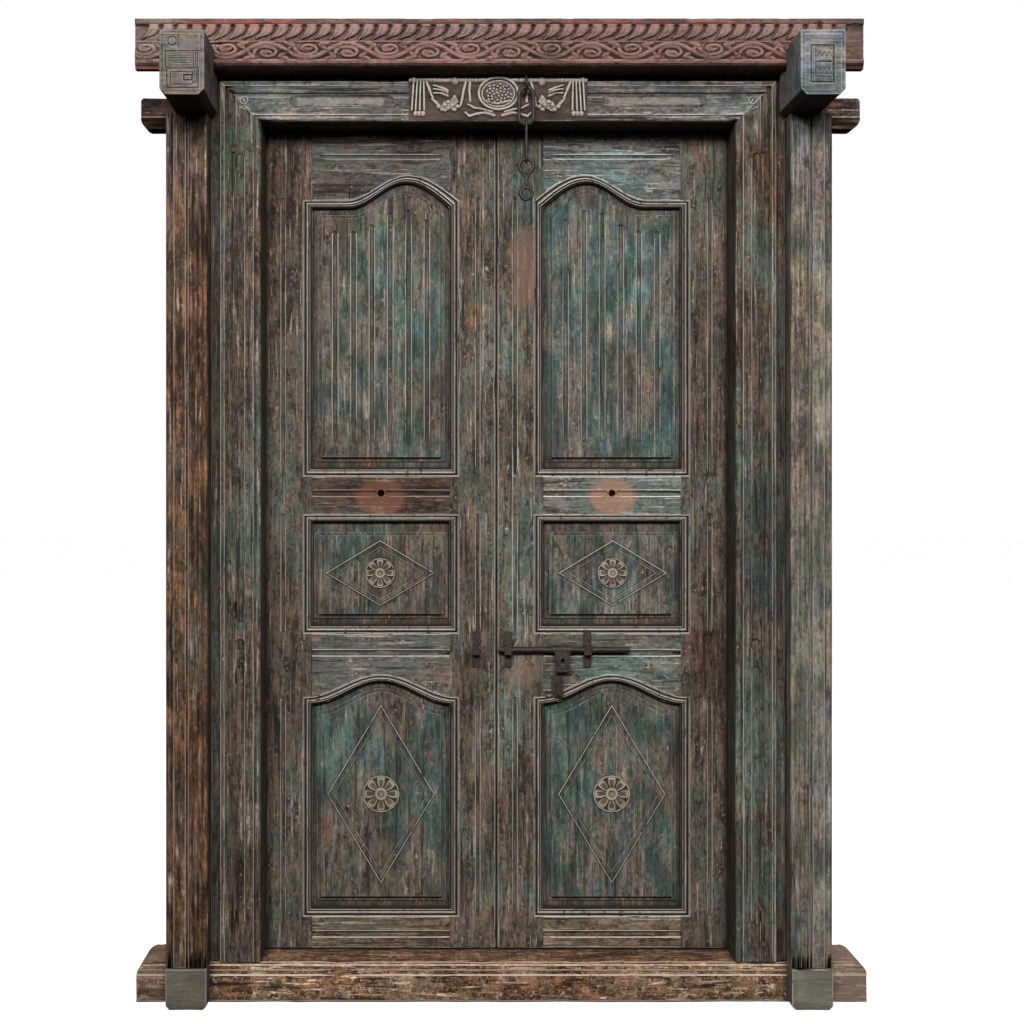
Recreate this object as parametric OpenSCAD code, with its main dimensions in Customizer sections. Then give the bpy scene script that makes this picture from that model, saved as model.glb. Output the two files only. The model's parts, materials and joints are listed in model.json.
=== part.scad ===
// Two-leaf carved timber door in its frame: sill, moulded inner frame, outer posts on base blocks,
// two projecting bracket blocks, a carved cornice, framed-and-panelled leaves on iron pivots, a sliding
// bolt with its hasp, and a hanging chain. Millimetres; +Z up; the front faces -Y; the origin is the
// centre of the sill's underside.

/* [Doorway] */
// Clear width between the jambs
open_w = 1044; // [900:1:1260]
// Clear height from the sill to the lintel
open_h = 1848; // [1540:1:2220]
// Depth of the reveal in front of the leaves
reveal_d = 100; // [70:1:120]
// Lap of the frame over the leaf's edge
stop_lap = 12; // [8:0.5:16]

/* [Frame] */
// Depth of the sill, jambs and lintel, front to back
frame_d = 145; // [135:1:200]
// Height of the sill
sill_h = 90; // [70:1:110]
// Width of a jamb, and height of the lintel's moulding
jamb_w = 112; // [112:1:140]
// Height of the lintel under the cornice
lintel_h = 103; // [100:1:130]
// Length of the left horns of the sill and the lintel, beyond the post
horn_left = 72; // [40:1:120]
// Length of the right horns, beyond the post
horn_right = 87; // [40:1:120]
// Height of the lintel's horns
horn_h = 67; // [50:1:90]
// How far the lintel's horns lie behind the frame's front
horn_back = 60; // [55:1:75]
// Depth of the lintel's horns
horn_d = 70; // [50:1:70]

/* [Posts and brackets] */
// Width of a post and its base block
post_w = 91; // [89:1:110]
// How far a post stands in front of the frame
post_proud = 45; // [30:1:60]
// How far a base block stands in front of the frame
block_proud = 55; // [35:1:80]
// Width of a bracket block
bracket_w = 95; // [80:1:98]
// Height of a bracket block
bracket_h = 137; // [115:1:150]
// How far a bracket block stands in front of the frame
bracket_proud = 220; // [150:1:260]
// Gap from the frame's top corner to the bracket's inner side, inwards
bracket_in = 17; // [5:1:20]

/* [Cornice] */
// Height of the cornice
cornice_h = 108; // [90:1:130]
// How far the cornice stands in front of the frame
cornice_proud = 63; // [40:1:90]
// Length of the cornice beyond the posts' outer sides
cornice_over = 64; // [20:1:80]
// Thickness of the cornice's ends, which run on as boards past the posts
cornice_ear = 30; // [20:1:60]

/* [Leaves] */
// Thickness of a leaf
leaf_t = 42; // [38:1:44]
// Gap between the two leaves
meeting_gap = 2; // [2:0.5:8]
// Flat width of a stile that shows
stile_w = 86; // [70:1:100]
// Flat height of the bottom rail
bottom_rail = 71; // [50:1:100]
// Height of the lower panel's opening at its shoulders
lower_panel_h = 494; // [400:1:600]
// Rise of the lower panel's arch
lower_rise = 51; // [30:1:62]
// Flat height of the lower middle rail at the shoulders
lower_mid_rail = 145; // [110:1:180]
// Height of the middle panel's opening
middle_panel_h = 268; // [220:1:330]
// Flat height of the upper middle rail
upper_mid_rail = 87; // [70:1:110]
// Height of the top rail at the shoulders
top_rail = 166; // [130:1:200]
// Rise of the upper panel's arch
upper_rise = 57; // [30:1:70]
// Width of the moulding round each panel
mould_w = 20; // [16:1:26]
// Thickness of a panel's edge, in its groove
panel_t = 12; // [9:1:14]
// Width of the flutes in the upper panels
flute_w = 10; // [6:1:14]
// Width of the flutes along the rails
rail_flute_w = 12; // [6:1:14]
// Number of flutes in an upper panel
flutes = 6; // [3:1:7]
// Radius of the pull-ring hole in the upper middle rail
pull_r = 8; // [4:0.5:10]

/* [Ornament] */
// Half width of the middle panel's lozenge
lozenge_mid_x = 123; // [80:1:130]
// Half height of the middle panel's lozenge
lozenge_mid_z = 74; // [50:1:78]
// Half width of the lower panel's lozenge
lozenge_low_x = 121; // [80:1:125]
// Half height of the lower panel's lozenge
lozenge_low_z = 202; // [120:1:205]
// Width of a lozenge's strip
lozenge_w = 10; // [6:1:14]
// Radius of the middle panel's rosette
rosette_mid_r = 34; // [20:1:38]
// Radius of the lower panel's rosette
rosette_low_r = 42; // [25:1:48]
// Half width of the lintel's carved garland
garland_x = 197; // [150:1:220]

/* [Ironwork] */
// Radius of a leaf's pivot pin
pivot_r = 10; // [7:0.5:12]
// Diameter of the bolt's rod
rod_d = 13; // [10:0.5:16]
// Length of the bolt's rod
rod_l = 296; // [240:1:340]
// Height of the bolt above the sill
bolt_z = 678; // [600:1:690]
// How far the bolt slides
bolt_throw = 60; // [40:1:70]
// Wire diameter of the chain's ring
ring_d = 8; // [6:0.5:9]
// Wire diameter of the chain's thin link
link_d = 6; // [4:0.5:7]
// Wire diameter of the chain's figure-eight link
hook_d = 7; // [5:0.5:8]
// Place of the chain to the right of the centre
chain_x = 60; // [40:1:120]

/* [Hidden] */
$fn = 48;

// Main planes
front = -frame_d / 2;
back = frame_d / 2;
half_open = open_w / 2;
lintel_z = sill_h + open_h;
cornice_z = lintel_z + lintel_h;
top_z = cornice_z + cornice_h;
jamb_out = half_open + jamb_w;
post_out = jamb_out + post_w;
sill_x0 = -post_out - horn_left;
sill_x1 = post_out + horn_right;
post_back = front + horn_back;
bracket_z = cornice_z - 93;
bracket_x = jamb_out - bracket_in;
horn_z = lintel_z;

// The leaf's box: the left leaf is drawn, and the right one is its mirror image
leaf_gap = 1.5;
leaf_y0 = front + reveal_d;
leaf_y1 = leaf_y0 + leaf_t;
stop_y = leaf_y0 - 0.8;
leaf_x0 = -(half_open + stop_lap - leaf_gap);
leaf_x1 = -meeting_gap / 2;
leaf_z0 = sill_h + 4;
leaf_z1 = lintel_z + stop_lap - 2;
pivot_x = leaf_x0 + leaf_t / 2;
pivot_y = leaf_y0 + leaf_t / 2;

// Panel openings: [hinge side x, lock side x, bottom z, shoulder z, rise, kind of head]
open_x0 = -half_open + stile_w;
open_x1 = -stile_w;
lower_z0 = leaf_z0 + bottom_rail;
lower_z1 = lower_z0 + lower_panel_h;
middle_z0 = lower_z1 + lower_mid_rail;
middle_z1 = middle_z0 + middle_panel_h;
upper_z0 = middle_z1 + upper_mid_rail;
upper_z1 = leaf_z1 - top_rail;
LOWER = [open_x0, open_x1, lower_z0, lower_z1, lower_rise, "ogee"];
MIDDLE = [open_x0, open_x1, middle_z0, middle_z1, 0, "flat"];
UPPER = [open_x0, open_x1, upper_z0, upper_z1, upper_rise, "swan"];
sight_x0 = open_x0 + mould_w;
sight_x1 = open_x1 - mould_w;
panel_x = (open_x0 + open_x1) / 2;

// Joinery inside a leaf
groove_y0 = leaf_y0 + 20;
groove_d = 8;
tenon_l = 55;
tenon_in = 18;
peg_r = 6;
peg_gap = 0.05;
field_y = leaf_y0 + 9;
head_inset = 0.8;

// Carved garland on the lintel
garland_t = 8;
medallion = [42, 33];

// Ironwork
rod_r = rod_d / 2;
rod_y = leaf_y0 - rod_r - 5;
rod_z = sill_h + bolt_z;
rod_x0 = meeting_gap / 2 + 2.5;
strap_t = 3.5;
strap_w = 17;
strap_h = 80;
strap_gap = 0.6;
hasp_x = 148;
hasp_w = 34;
hasp_t = 4;
hasp_l = 49;
eye_r = 16;
eye_wire = 3;
link_gap = 0.3;
ring_half = 15.5;
ring_l = 78;
link_l = 92;
hook_l = 60;
chain_y = front - garland_t - eye_wire - eye_r - 0.5;
eye_z = lintel_z + 78;
shank_in = 38;
ring_top = eye_z - eye_r + eye_wire + link_gap + ring_d / 2;
ring_bottom = ring_top - ring_l;
link_top = ring_bottom + ring_d / 2 + link_gap + link_d / 2;
link_bottom = link_top - link_l;
link_half = ring_d / 2 + link_d / 2 + 1;
hook_top = link_bottom + link_d / 2 + link_gap + hook_d / 2;
hook_r1 = 15;
hook_r2 = 12;
hook_z1 = hook_top - hook_r1;
hook_z2 = hook_z1 - hook_l;

// Paint and materials
paint_frame = [0.36, 0.38, 0.34];
paint_leaf = [0.33, 0.40, 0.38];
paint_panel = [0.27, 0.40, 0.38];
paint_block = [0.36, 0.42, 0.39];
wood_post = [0.34, 0.28, 0.23];
wood_sill = [0.52, 0.45, 0.36];
wood_cornice = [0.38, 0.24, 0.21];
carved_tan = [0.55, 0.50, 0.44];
iron = [0.16, 0.13, 0.12];

// ---------- helpers ----------
function arc(c, r, a0, a1, n = 8) =
    [for (i = [0:n]) c + r * [cos(a0 + (a1 - a0) * i / n), sin(a0 + (a1 - a0) * i / n)]];

// An outline in X and Z, as a slab from y0 back to y1
module slab(y0, y1) { translate([0, y1, 0]) rotate([90, 0, 0]) linear_extrude(y1 - y0) children(); }

// A profile in Y and Z, drawn along X from x0 to x1
module bar(x0, x1) { translate([x0, 0, 0]) rotate([90, 0, 90]) linear_extrude(x1 - x0) children(); }

module rect(x0, x1, z0, z1) { translate([x0, z0]) square([x1 - x0, z1 - z0]); }

module right_side() { mirror([1, 0, 0]) children(); }

// A round-ended flute, half sunk in the plane y, between two points in X and Z
module flute(a, b, y, w) {
    length = norm(b - a);
    translate([a[0], y, a[1]]) rotate([0, atan2(b[0] - a[0], b[1] - a[1]), 0]) {
        cylinder(h = length, d = w, $fn = 24);
        sphere(d = w, $fn = 24);
        translate([0, 0, length]) sphere(d = w, $fn = 24);
    }
}

// A round-ended sunk panel, standing or lying
module sunk_panel(a, b, y, w, deep) {
    slab(y - 1, y + deep) {
        translate(a) circle(d = w);
        translate(b) circle(d = w);
        across = a[0] == b[0] ? [w / 2, 0] : [0, w / 2];
        polygon([a - across, b - across, b + across, a + across]);
    }
}

// ---------- frame ----------
// Sunk panels in a jamb's flat band, a disc between them, and the pegs of its joints
sunk_d = 4;
jamb_panel_x = -half_open - 46;
jamb_panels = [[sill_h + 90, sill_h + 643], [sill_h + 756, lintel_z - 76]];
jamb_disc_z = sill_h + 698;
peg_in = 60;
peg_zs = [sill_h + 40, lintel_z - 60];
socket_r = pivot_r + 6;
socket_d = 34;
socket_floor = 6;
pivot_gap = 0.08;
pin_in = 70;

// Depth of the frame's moulding at distance u from the opening: [u, depth behind the front]
function frame_moulding() = concat(
    arc([7.5, -7.5], 7.5, 180, 30), [[16, -3.75], [16, 0], [56, 0], [56, -4], [61, -4]],
    arc([69, -7.5], 7.5, 152, 28), [[80, -4], [80, -1], [jamb_w - 22, -1]],
    arc([jamb_w - 8, -1], 14, 180, 270), [[jamb_w, -15]]);

module jamb_profile() {
    polygon(concat(
        [for (p = frame_moulding()) [-half_open - p[0], front - p[1]]],
        [[-jamb_out, back], [-half_open - stop_lap, back], [-half_open - stop_lap, stop_y],
            [-half_open, stop_y]]));
}

// The front half of a jamb runs up into the mitre, and the back half stops under the lintel's horn
module jamb() {
    color(paint_frame) difference() {
        translate([0, 0, sill_h]) linear_extrude(cornice_z - sill_h) jamb_profile();
        slab(front - 20, post_back) polygon([[-half_open, lintel_z], [-half_open - lintel_h, cornice_z],
            [0, cornice_z], [0, lintel_z]]);
        translate([-jamb_out - 5, post_back, horn_z]) cube([jamb_w + 10, frame_d, lintel_h + 20]);
        for (z = jamb_panels) sunk_panel([jamb_panel_x, z[0]], [jamb_panel_x, z[1]], front, 18, sunk_d);
        slab(front - 1, front + sunk_d) translate([jamb_panel_x, jamb_disc_z]) circle(d = 25);
        for (z = peg_zs) peg_hole([-half_open - peg_in, z]);
    }
    color(paint_frame) frame_tenon();
}

// A jamb's foot tenon, and its mortise in the sill
module frame_tenon() {
    translate([-half_open - 90, post_back - 10, sill_h - 45]) cube([60, 40, 45]);
}

module peg_hole(at) { slab(front - 1, front + 60) translate(at) circle(r = peg_r + peg_gap); }

module frame_pegs() {
    color(wood_post) for (s = [-1, 1], z = peg_zs)
        slab(front - 1, front + 60) translate([s * (half_open + peg_in), z]) circle(r = peg_r);
}

module sill() {
    r = 32;
    color(wood_sill) difference() {
        intersection() {
            bar(sill_x0, sill_x1) polygon([[front + 3, 0], [front, 4], [front, sill_h - 28],
                [front + 3, sill_h - 26], [front + 3, sill_h - 21], [front, sill_h - 19], [front, sill_h - 6],
                [front + 6, sill_h], [back, sill_h], [back, 0]]);
            slab(front - 5, back + 5) polygon(concat([[sill_x0, 0]],
                arc([sill_x0 + r, sill_h - r], r, 180, 90), arc([sill_x1 - r, sill_h - r], r, 90, 0),
                [[sill_x1, 0]]));
        }
        frame_tenon();
        right_side() frame_tenon();
        for (s = [-1, 1]) translate([s * pivot_x, pivot_y, sill_h - socket_d])
            cylinder(h = socket_d + 1, r = socket_r);
    }
}

module lintel() {
    color(paint_frame) difference() {
        union() {
            intersection() {
                bar(-jamb_out, jamb_out) polygon(concat(
                    [for (p = frame_moulding()) if (p[0] < lintel_h) [front - p[1], lintel_z + p[0]]],
                    [[front + 15, cornice_z], [back, cornice_z], [back, lintel_z + stop_lap],
                        [stop_y, lintel_z + stop_lap], [stop_y, lintel_z]]));
                union() {
                    slab(front - 20, post_back) polygon([[-half_open, lintel_z],
                        [-half_open - lintel_h, cornice_z], [half_open + lintel_h, cornice_z],
                        [half_open, lintel_z]]);
                    slab(post_back, back)
                        rect(-half_open - stop_lap, half_open + stop_lap, lintel_z, cornice_z);
                }
            }
            for (s = [0, 1]) mirror([s, 0, 0]) slab(post_back, back)
                rect(-jamb_out, -half_open - stop_lap, horn_z, cornice_z);
            horn(horn_left);
            right_side() horn(horn_right);
        }
        lintel_panel();
        right_side() lintel_panel();
        for (s = [-1, 1]) translate([s * pivot_x, pivot_y, lintel_z + stop_lap - 1])
            cylinder(h = socket_d + 1, r = socket_r);
        staple_hole();
    }
}

module lintel_panel() {
    z = lintel_z + 47;
    sunk_panel([-half_open + 76, z], [-garland_x - 46, z], front, 26, sunk_d);
}

// A horn runs behind the post; its front lower arris is chamfered and its end's lower corner is rounded
module horn(length) {
    x0 = -post_out - length;
    y1 = post_back + horn_d;
    z1 = horn_z + horn_h;
    r = 20;
    intersection() {
        bar(x0, -jamb_out) polygon([[post_back, horn_z + 24], [post_back + 16, horn_z], [y1, horn_z],
            [y1, z1], [post_back, z1]]);
        slab(post_back - 1, y1 + 1) polygon(concat([[-jamb_out, horn_z], [-jamb_out, z1], [x0 + 5, z1],
            [x0, z1 - 7]], arc([x0 + r, horn_z + r], r, 180, 270)));
    }
}

// Depth of the post's face at distance u from its inner side
function post_moulding() = concat(
    arc([5, 0 - 5], 5, 180, 30, 6), [[11, -2.5]], arc([16, -4], 5, 150, 30, 6), arc([26, -4], 5, 150, 30, 6),
    arc([36, -4], 5, 150, 30, 6), [[43, -1.5], [43, -5], [47, -5], [47, 0], [post_w - 17, 0],
        [post_w - 17, -4], [post_w - 15, -4]], arc([post_w - 7.5, -7.5], 7.5, 150, 0, 8));

module post() {
    color(wood_post) translate([0, 0, sill_h]) linear_extrude(bracket_z - sill_h) polygon(concat(
        [for (p = post_moulding()) [-jamb_out - p[0], front - post_proud - p[1]]],
        [[-post_out, post_back], [-jamb_out, post_back]]));
}

module base_block() {
    c = 9;
    color(paint_block) slab(front - block_proud, front) polygon([[-post_out, c], [-post_out, sill_h],
        [-jamb_out, sill_h], [-jamb_out, c], [-jamb_out - c, 0], [-post_out + c, 0]]);
}

// The block's tail sits on the post, and the cornice lies in the notch cut in its top
module bracket() {
    c = 13;
    x0 = -bracket_x - bracket_w;
    color(paint_block) difference() {
        union() {
            slab(front - bracket_proud, front) polygon([[x0, bracket_z + c], [x0, bracket_z + bracket_h],
                [-bracket_x, bracket_z + bracket_h], [-bracket_x, bracket_z + c], [-bracket_x - c, bracket_z],
                [x0 + c, bracket_z]]);
            slab(front, post_back) rect(x0, -jamb_out, bracket_z, cornice_z);
        }
        translate([x0 - 1, front - cornice_proud, cornice_z])
            cube([bracket_w + 2, cornice_proud + 200, bracket_h]);
        slab(front - bracket_proud - 1, front - bracket_proud + 4)
            rect(x0 + 23, -bracket_x - 23, bracket_z + 27, bracket_z + bracket_h - 29);
    }
}

// Tops of the cornice's lower fillet, vine band and leaf band; the top fillet takes what is left
cornice_bands = [15, 62, cornice_h - 12];
module cornice() {
    f = front - cornice_proud;
    z = [for (b = cornice_bands) cornice_z + b];
    color(wood_cornice) difference() {
        bar(-post_out - cornice_over, post_out + cornice_over) polygon([
            [back, cornice_z], [f + 10, cornice_z], [f + 4, cornice_z + 4], [f, cornice_z + 4], [f, z[0]],
            [f + 5, z[0] + 2], [f + 5, z[1] - 2], [f + 2, z[1]], [f + 5, z[1] + 2], [f + 5, z[2]],
            [f, z[2] + 2], [f, top_z], [back, top_z]]);
        for (s = [0, 1]) mirror([s, 0, 0]) translate([post_out, f + cornice_ear, cornice_z - 1])
            cube([cornice_over + 1, back - f, cornice_h + 2]);
    }
}

// Garland: a rod along the top, swags between ribbons, drops at the ends and an oval medallion
module lintel_garland() {
    rod_h = lintel_z + 92;
    mid_z = lintel_z + 63;
    color(carved_tan) difference() {
        union() {
            slab(front - garland_t, front) polygon([for (a = [0:7.5:352.5])
                [medallion[0] * cos(a), mid_z + medallion[1] * sin(a)]]);
            slab(front - garland_t + 2, front) rect(-garland_x, garland_x, rod_h - 4, rod_h + 4);
            for (s = [-1, 1], k = [0, 1]) slab(front - garland_t + 1, front)
                swag(s * (88 + k * 66), rod_h, 34, 62 - 12 * k);
            for (s = [-1, 1]) slab(front - garland_t + 1, front)
                polygon([[s * (garland_x - 22), rod_h], [s * garland_x, rod_h],
                    [s * (garland_x - 4), rod_h - 74], [s * (garland_x - 18), rod_h - 74]]);
        }
        staple_hole();
    }
}

module swag(x, z, half, drop) {
    polygon(concat([for (i = [0:12]) [x + half * cos(180 + i * 15), z + drop * sin(180 + i * 15)]],
        [for (i = [12:-1:0]) [x + (half - 9) * cos(180 + i * 15), z + (drop - 20) * sin(180 + i * 15)]]));
}

// Iron cups in the sill and the lintel that hold the leaves' pivots
module pivot_sockets() {
    color(iron) for (s = [-1, 1]) translate([s * pivot_x, pivot_y, 0]) {
        difference() {
            translate([0, 0, sill_h - socket_d]) cylinder(h = socket_d, r = socket_r);
            translate([0, 0, sill_h - socket_d + socket_floor])
                cylinder(h = socket_d, r = pivot_r + pivot_gap);
        }
        translate([0, 0, lintel_z + stop_lap]) difference() {
            cylinder(h = socket_d, r = socket_r);
            translate([0, 0, -socket_floor]) cylinder(h = socket_d, r = pivot_r + pivot_gap);
        }
    }
}

// ---------- leaves ----------
// Height of an arched head at t, from the hinge side (0) to the lock side (1), as a share of its rise
function swan(t) =
    t < 0.27 ? 0 : t < 0.68 ? (1 - cos(180 * (t - 0.27) / 0.41)) / 2 : cos(90 * (t - 0.68) / 0.32);
function ogee(t) = (1 - cos(360 * t)) / 2;
function head(kind, t) = kind == "swan" ? swan(t) : kind == "ogee" ? ogee(t) : 0;

// A panel opening's outline, moved in by inset, or out where inset is negative
function outline(o, inset, top = 0) =
    let (x0 = o[0] + inset, x1 = o[1] - inset, zs = o[3] - inset * head_inset - top,
        n = o[5] == "flat" ? 1 : 28)
    concat([[x0, o[2] + inset + top / 2], [x1, o[2] + inset + top / 2]],
        [for (i = [n:-1:0]) [x0 + (x1 - x0) * i / n, zs + o[4] * head(o[5], i / n)]]);

// What the three openings take out of the stiles and rails: a stepped moulding and the panels' groove
module openings() {
    for (o = [LOWER, MIDDLE, UPPER]) {
        slab(leaf_y0 - 1, leaf_y0 + 3.5) polygon(outline(o, 0));
        slab(leaf_y0 - 1, leaf_y0 + 8) polygon(outline(o, mould_w * 0.45));
        slab(leaf_y0 - 1, leaf_y1 + 1) polygon(outline(o, mould_w));
        slab(groove_y0, groove_y0 + panel_t) polygon(outline(o, mould_w - groove_d));
    }
}

// Rails as [bottom z, top z]
RAILS = [
    [leaf_z0, lower_z0 + mould_w],
    [lower_z1 - mould_w * head_inset, middle_z0 + mould_w],
    [middle_z1 - mould_w * head_inset, upper_z0 + mould_w],
    [upper_z1 - mould_w * head_inset, leaf_z1]];

// A tenon keeps clear of the panel grooves above and below it
function tenon_z(r) = [max(r[0], leaf_z0 + 4) + tenon_in, r[1] - tenon_in];

module tenons(r) {
    z = tenon_z(r);
    slab(groove_y0, groove_y0 + panel_t) rect(sight_x0 - tenon_l, sight_x1 + tenon_l, z[0], z[1]);
}

module leaf_pegs_2d(grow) {
    for (r = RAILS, x = [sight_x0 - tenon_l / 2, sight_x1 + tenon_l / 2])
        translate([x, (tenon_z(r)[0] + tenon_z(r)[1]) / 2]) circle(r = peg_r + grow);
}

module leaf_pegs() {
    color(wood_post) slab(leaf_y0 - 1, leaf_y1) leaf_pegs_2d(0);
}

module stile_flutes(x) {
    for (z = [[lower_z0 + 4, lower_z1 - 2], [middle_z0 + 5, middle_z1 - 1], [upper_z0 + 7, upper_z1 + 3]])
        flute([x, z[0]], [x, z[1]], leaf_y0, 8);
}

module hinge_stile() {
    color(paint_leaf) difference() {
        translate([0, 0, leaf_z0]) linear_extrude(leaf_z1 - leaf_z0) {
            translate([pivot_x, leaf_y0]) square([sight_x0 - pivot_x, leaf_t]);
            translate([pivot_x, pivot_y]) circle(d = leaf_t, $fn = 96);
        }
        openings();
        for (r = RAILS) tenons(r);
        slab(leaf_y0 - 1, leaf_y1 + 1) leaf_pegs_2d(peg_gap);
        stile_flutes(-half_open + 40);
        for (z = [leaf_z0 - 1, leaf_z1 - pin_in]) translate([pivot_x, pivot_y, z])
            cylinder(h = pin_in + 1, r = pivot_r + peg_gap);
    }
}

// A quirk along the front of the meeting edge keeps the joint between the leaves in shadow
meeting_quirk = [1.5, 12];

module lock_stile() {
    color(paint_leaf) difference() {
        slab(leaf_y0, leaf_y1) rect(sight_x1, leaf_x1, leaf_z0, leaf_z1);
        slab(leaf_y0 - 1, leaf_y0 + meeting_quirk[1])
            rect(leaf_x1 - meeting_quirk[0], leaf_x1 + 1, leaf_z0 - 1, leaf_z1 + 1);
        openings();
        for (r = RAILS) tenons(r);
        slab(leaf_y0 - 1, leaf_y1 + 1) leaf_pegs_2d(peg_gap);
        stile_flutes(-42);
    }
}

module rail(n) {
    r = RAILS[n];
    mid = (r[0] + r[1]) / 2;
    color(paint_leaf) difference() {
        union() {
            slab(leaf_y0, leaf_y1) rect(sight_x0, sight_x1, r[0], r[1]);
            tenons(r);
        }
        openings_in_rail();
        slab(leaf_y0 - 1, leaf_y1 + 1) leaf_pegs_2d(peg_gap);
        rail_flutes(n);
        if (n == 2) slab(leaf_y0 - 1, leaf_y0 + pull_d) translate([panel_x, pull_z]) circle(r = pull_r);
    }
}

// The openings cut a rail's edges but not its tenons, which lie deeper than the mouldings
module openings_in_rail() {
    intersection() {
        openings();
        slab(leaf_y0 - 2, leaf_y1 + 2) rect(sight_x0, sight_x1, leaf_z0 - 10, leaf_z1 + 10);
    }
}

pull_z = middle_z1 + upper_mid_rail * 0.56;
pull_d = 34;
module rail_flutes(n) {
    if (n == 0) flute([sight_x0 - 10, leaf_z0 + 31], [sight_x1 + 10, leaf_z0 + 31], leaf_y0, rail_flute_w);
    if (n == 1) flute([sight_x0 - 10, middle_z0 - 44], [sight_x1 + 10, middle_z0 - 44], leaf_y0, rail_flute_w);
    pull_edge = pull_r + rail_flute_w / 2 + 2;
    if (n == 2) for (e = [[sight_x0 - 10, panel_x - pull_edge], [panel_x + pull_edge, sight_x1 + 10]])
        flute([e[0], pull_z], [e[1], pull_z], leaf_y0, rail_flute_w);
    if (n == 3) flute([sight_x0 + 20, leaf_z1 - 67], [sight_x1 - 20, leaf_z1 - 67], leaf_y0, 8);
}

// A raised and fielded panel; o is its opening, and top the extra margin above the field
module panel(o, field_in, top) {
    color(paint_panel) difference() {
        union() {
            slab(groove_y0, groove_y0 + panel_t) polygon(outline(o, mould_w - groove_d + 0.5));
            slab(field_y + 6, groove_y0) polygon(outline(o, max(field_in - 10, mould_w + 1), top));
            slab(field_y, groove_y0) polygon(outline(o, field_in, top));
        }
        if (o[5] == "swan") panel_flutes(o, field_in, top);
    }
}

// Flutes in an upper panel end the same distance below its arched head
module panel_flutes(o, field_in, top) {
    x0 = o[0] + field_in;
    x1 = o[1] - field_in;
    step = (x1 - x0) / (flutes + 0.5);
    for (i = [0:flutes - 1]) {
        x = x0 + step * (i + 0.75);
        z = o[3] - field_in * head_inset - top - 22 + o[4] * head(o[5], (x - x0) / (x1 - x0)) * 0.85;
        flute([x, o[2] + field_in + 41], [x, z - 12], field_y, flute_w);
    }
}

// Centres of the lozenges and rosettes
middle_c = [panel_x - 2, (middle_z0 + middle_z1) / 2 + 2];
lower_c = [panel_x, lower_z0 + 275];

// A mitred strip in a lozenge, on a panel's field
module lozenge(c, hx, hz) {
    w = lozenge_w;
    k = w * norm([hx, hz]);
    color(paint_panel) slab(field_y - 5, field_y) difference() {
        translate(c) polygon([[-hx, 0], [0, -hz], [hx, 0], [0, hz]]);
        translate(c) polygon([[-hx + k / hz, 0], [0, -hz + k / hx], [hx - k / hz, 0], [0, hz - k / hx]]);
    }
}

// A carved rosette: a disc, a ring, petals and a boss
module rosette(c, r) {
    petals = 8;
    color(carved_tan) translate([c[0], field_y, c[1]]) rotate([90, 0, 0]) {
        cylinder(h = 4, r = r);
        rotate_extrude() translate([r - 4, 4]) circle(d = 6, $fn = 16);
        for (i = [0:petals - 1]) rotate(i * 360 / petals) translate([r * 0.52, 0, 0])
            cylinder(h = 7, r = r * 0.19);
        cylinder(h = 9, r = r * 0.22);
    }
}

// Two pins, let into the ends of the hinge stile; the lower one stands just off its cup's floor
module pivots() {
    foot = sill_h - socket_d + socket_floor + 0.3;
    color(iron) translate([pivot_x, pivot_y, 0]) {
        translate([0, 0, foot]) cylinder(h = leaf_z0 + pin_in - 0.5 - foot, r = pivot_r);
        translate([0, 0, leaf_z1 - pin_in + 0.5]) cylinder(h = pin_in + 24, r = pivot_r);
    }
}

module leaf_node(name) {
    if (name == "hinge_stile") hinge_stile();
    if (name == "lock_stile") lock_stile();
    if (name == "bottom_rail") rail(0);
    if (name == "lower_mid_rail") rail(1);
    if (name == "upper_mid_rail") rail(2);
    if (name == "top_rail") rail(3);
    if (name == "upper_panel") panel(UPPER, 40, 6);
    if (name == "middle_panel") panel(MIDDLE, 33, 20);
    if (name == "lower_panel") panel(LOWER, 38, 8);
    if (name == "middle_lozenge") lozenge(middle_c, lozenge_mid_x, lozenge_mid_z);
    if (name == "lower_lozenge") lozenge(lower_c, lozenge_low_x, lozenge_low_z);
    if (name == "middle_rosette") rosette(middle_c, rosette_mid_r);
    if (name == "lower_rosette") rosette(lower_c, rosette_low_r);
    if (name == "pegs") leaf_pegs();
    if (name == "pivots") pivots();
}

// ---------- ironwork ----------
// A strap bridged over the rod, with a square passage under it
module strap(x) {
    w = rod_r + strap_gap;
    out = rod_y - w;
    difference() {
        union() {
            translate([x - strap_w / 2, leaf_y0 - strap_t, rod_z - strap_h / 2])
                cube([strap_w, strap_t, strap_h]);
            translate([x - strap_w / 2, out - strap_t, rod_z - w - strap_t])
                cube([strap_w, leaf_y0 - out + strap_t, 2 * (w + strap_t)]);
        }
        translate([x - strap_w, out, rod_z - w]) cube([2 * strap_w, leaf_y0 - out + 1, 2 * w]);
    }
}

module keeper() { color(iron) strap(-46); }

module bolt_guides() { color(iron) for (x = [26, 205]) strap(x); }

module padlock_staple() {
    x = hasp_x - 10;
    z = rod_z - 92;
    color(iron) {
        translate([x - 13, leaf_y0 - strap_t, z - 16]) cube([26, strap_t, 50]);
        difference() {
            translate([x - 3, leaf_y0 - 20, z - 8]) cube([6, 20, 20]);
            translate([x - 4, leaf_y0 - 11, z + 1]) rotate([0, 90, 0]) cylinder(h = 8, r = 5);
        }
    }
}

// The rod has a collar on each side of the hasp, which turns on it
module bolt_rod() {
    color(iron) translate([rod_x0, rod_y, rod_z]) rotate([0, 90, 0]) {
        cylinder(h = rod_l, r = rod_r);
        for (x = [hasp_x - rod_x0 - hasp_w / 2 - 4.3, hasp_x - rod_x0 + hasp_w / 2 + 0.3])
            translate([0, 0, x]) cylinder(h = 4, r = rod_r + 2);
    }
}

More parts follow.
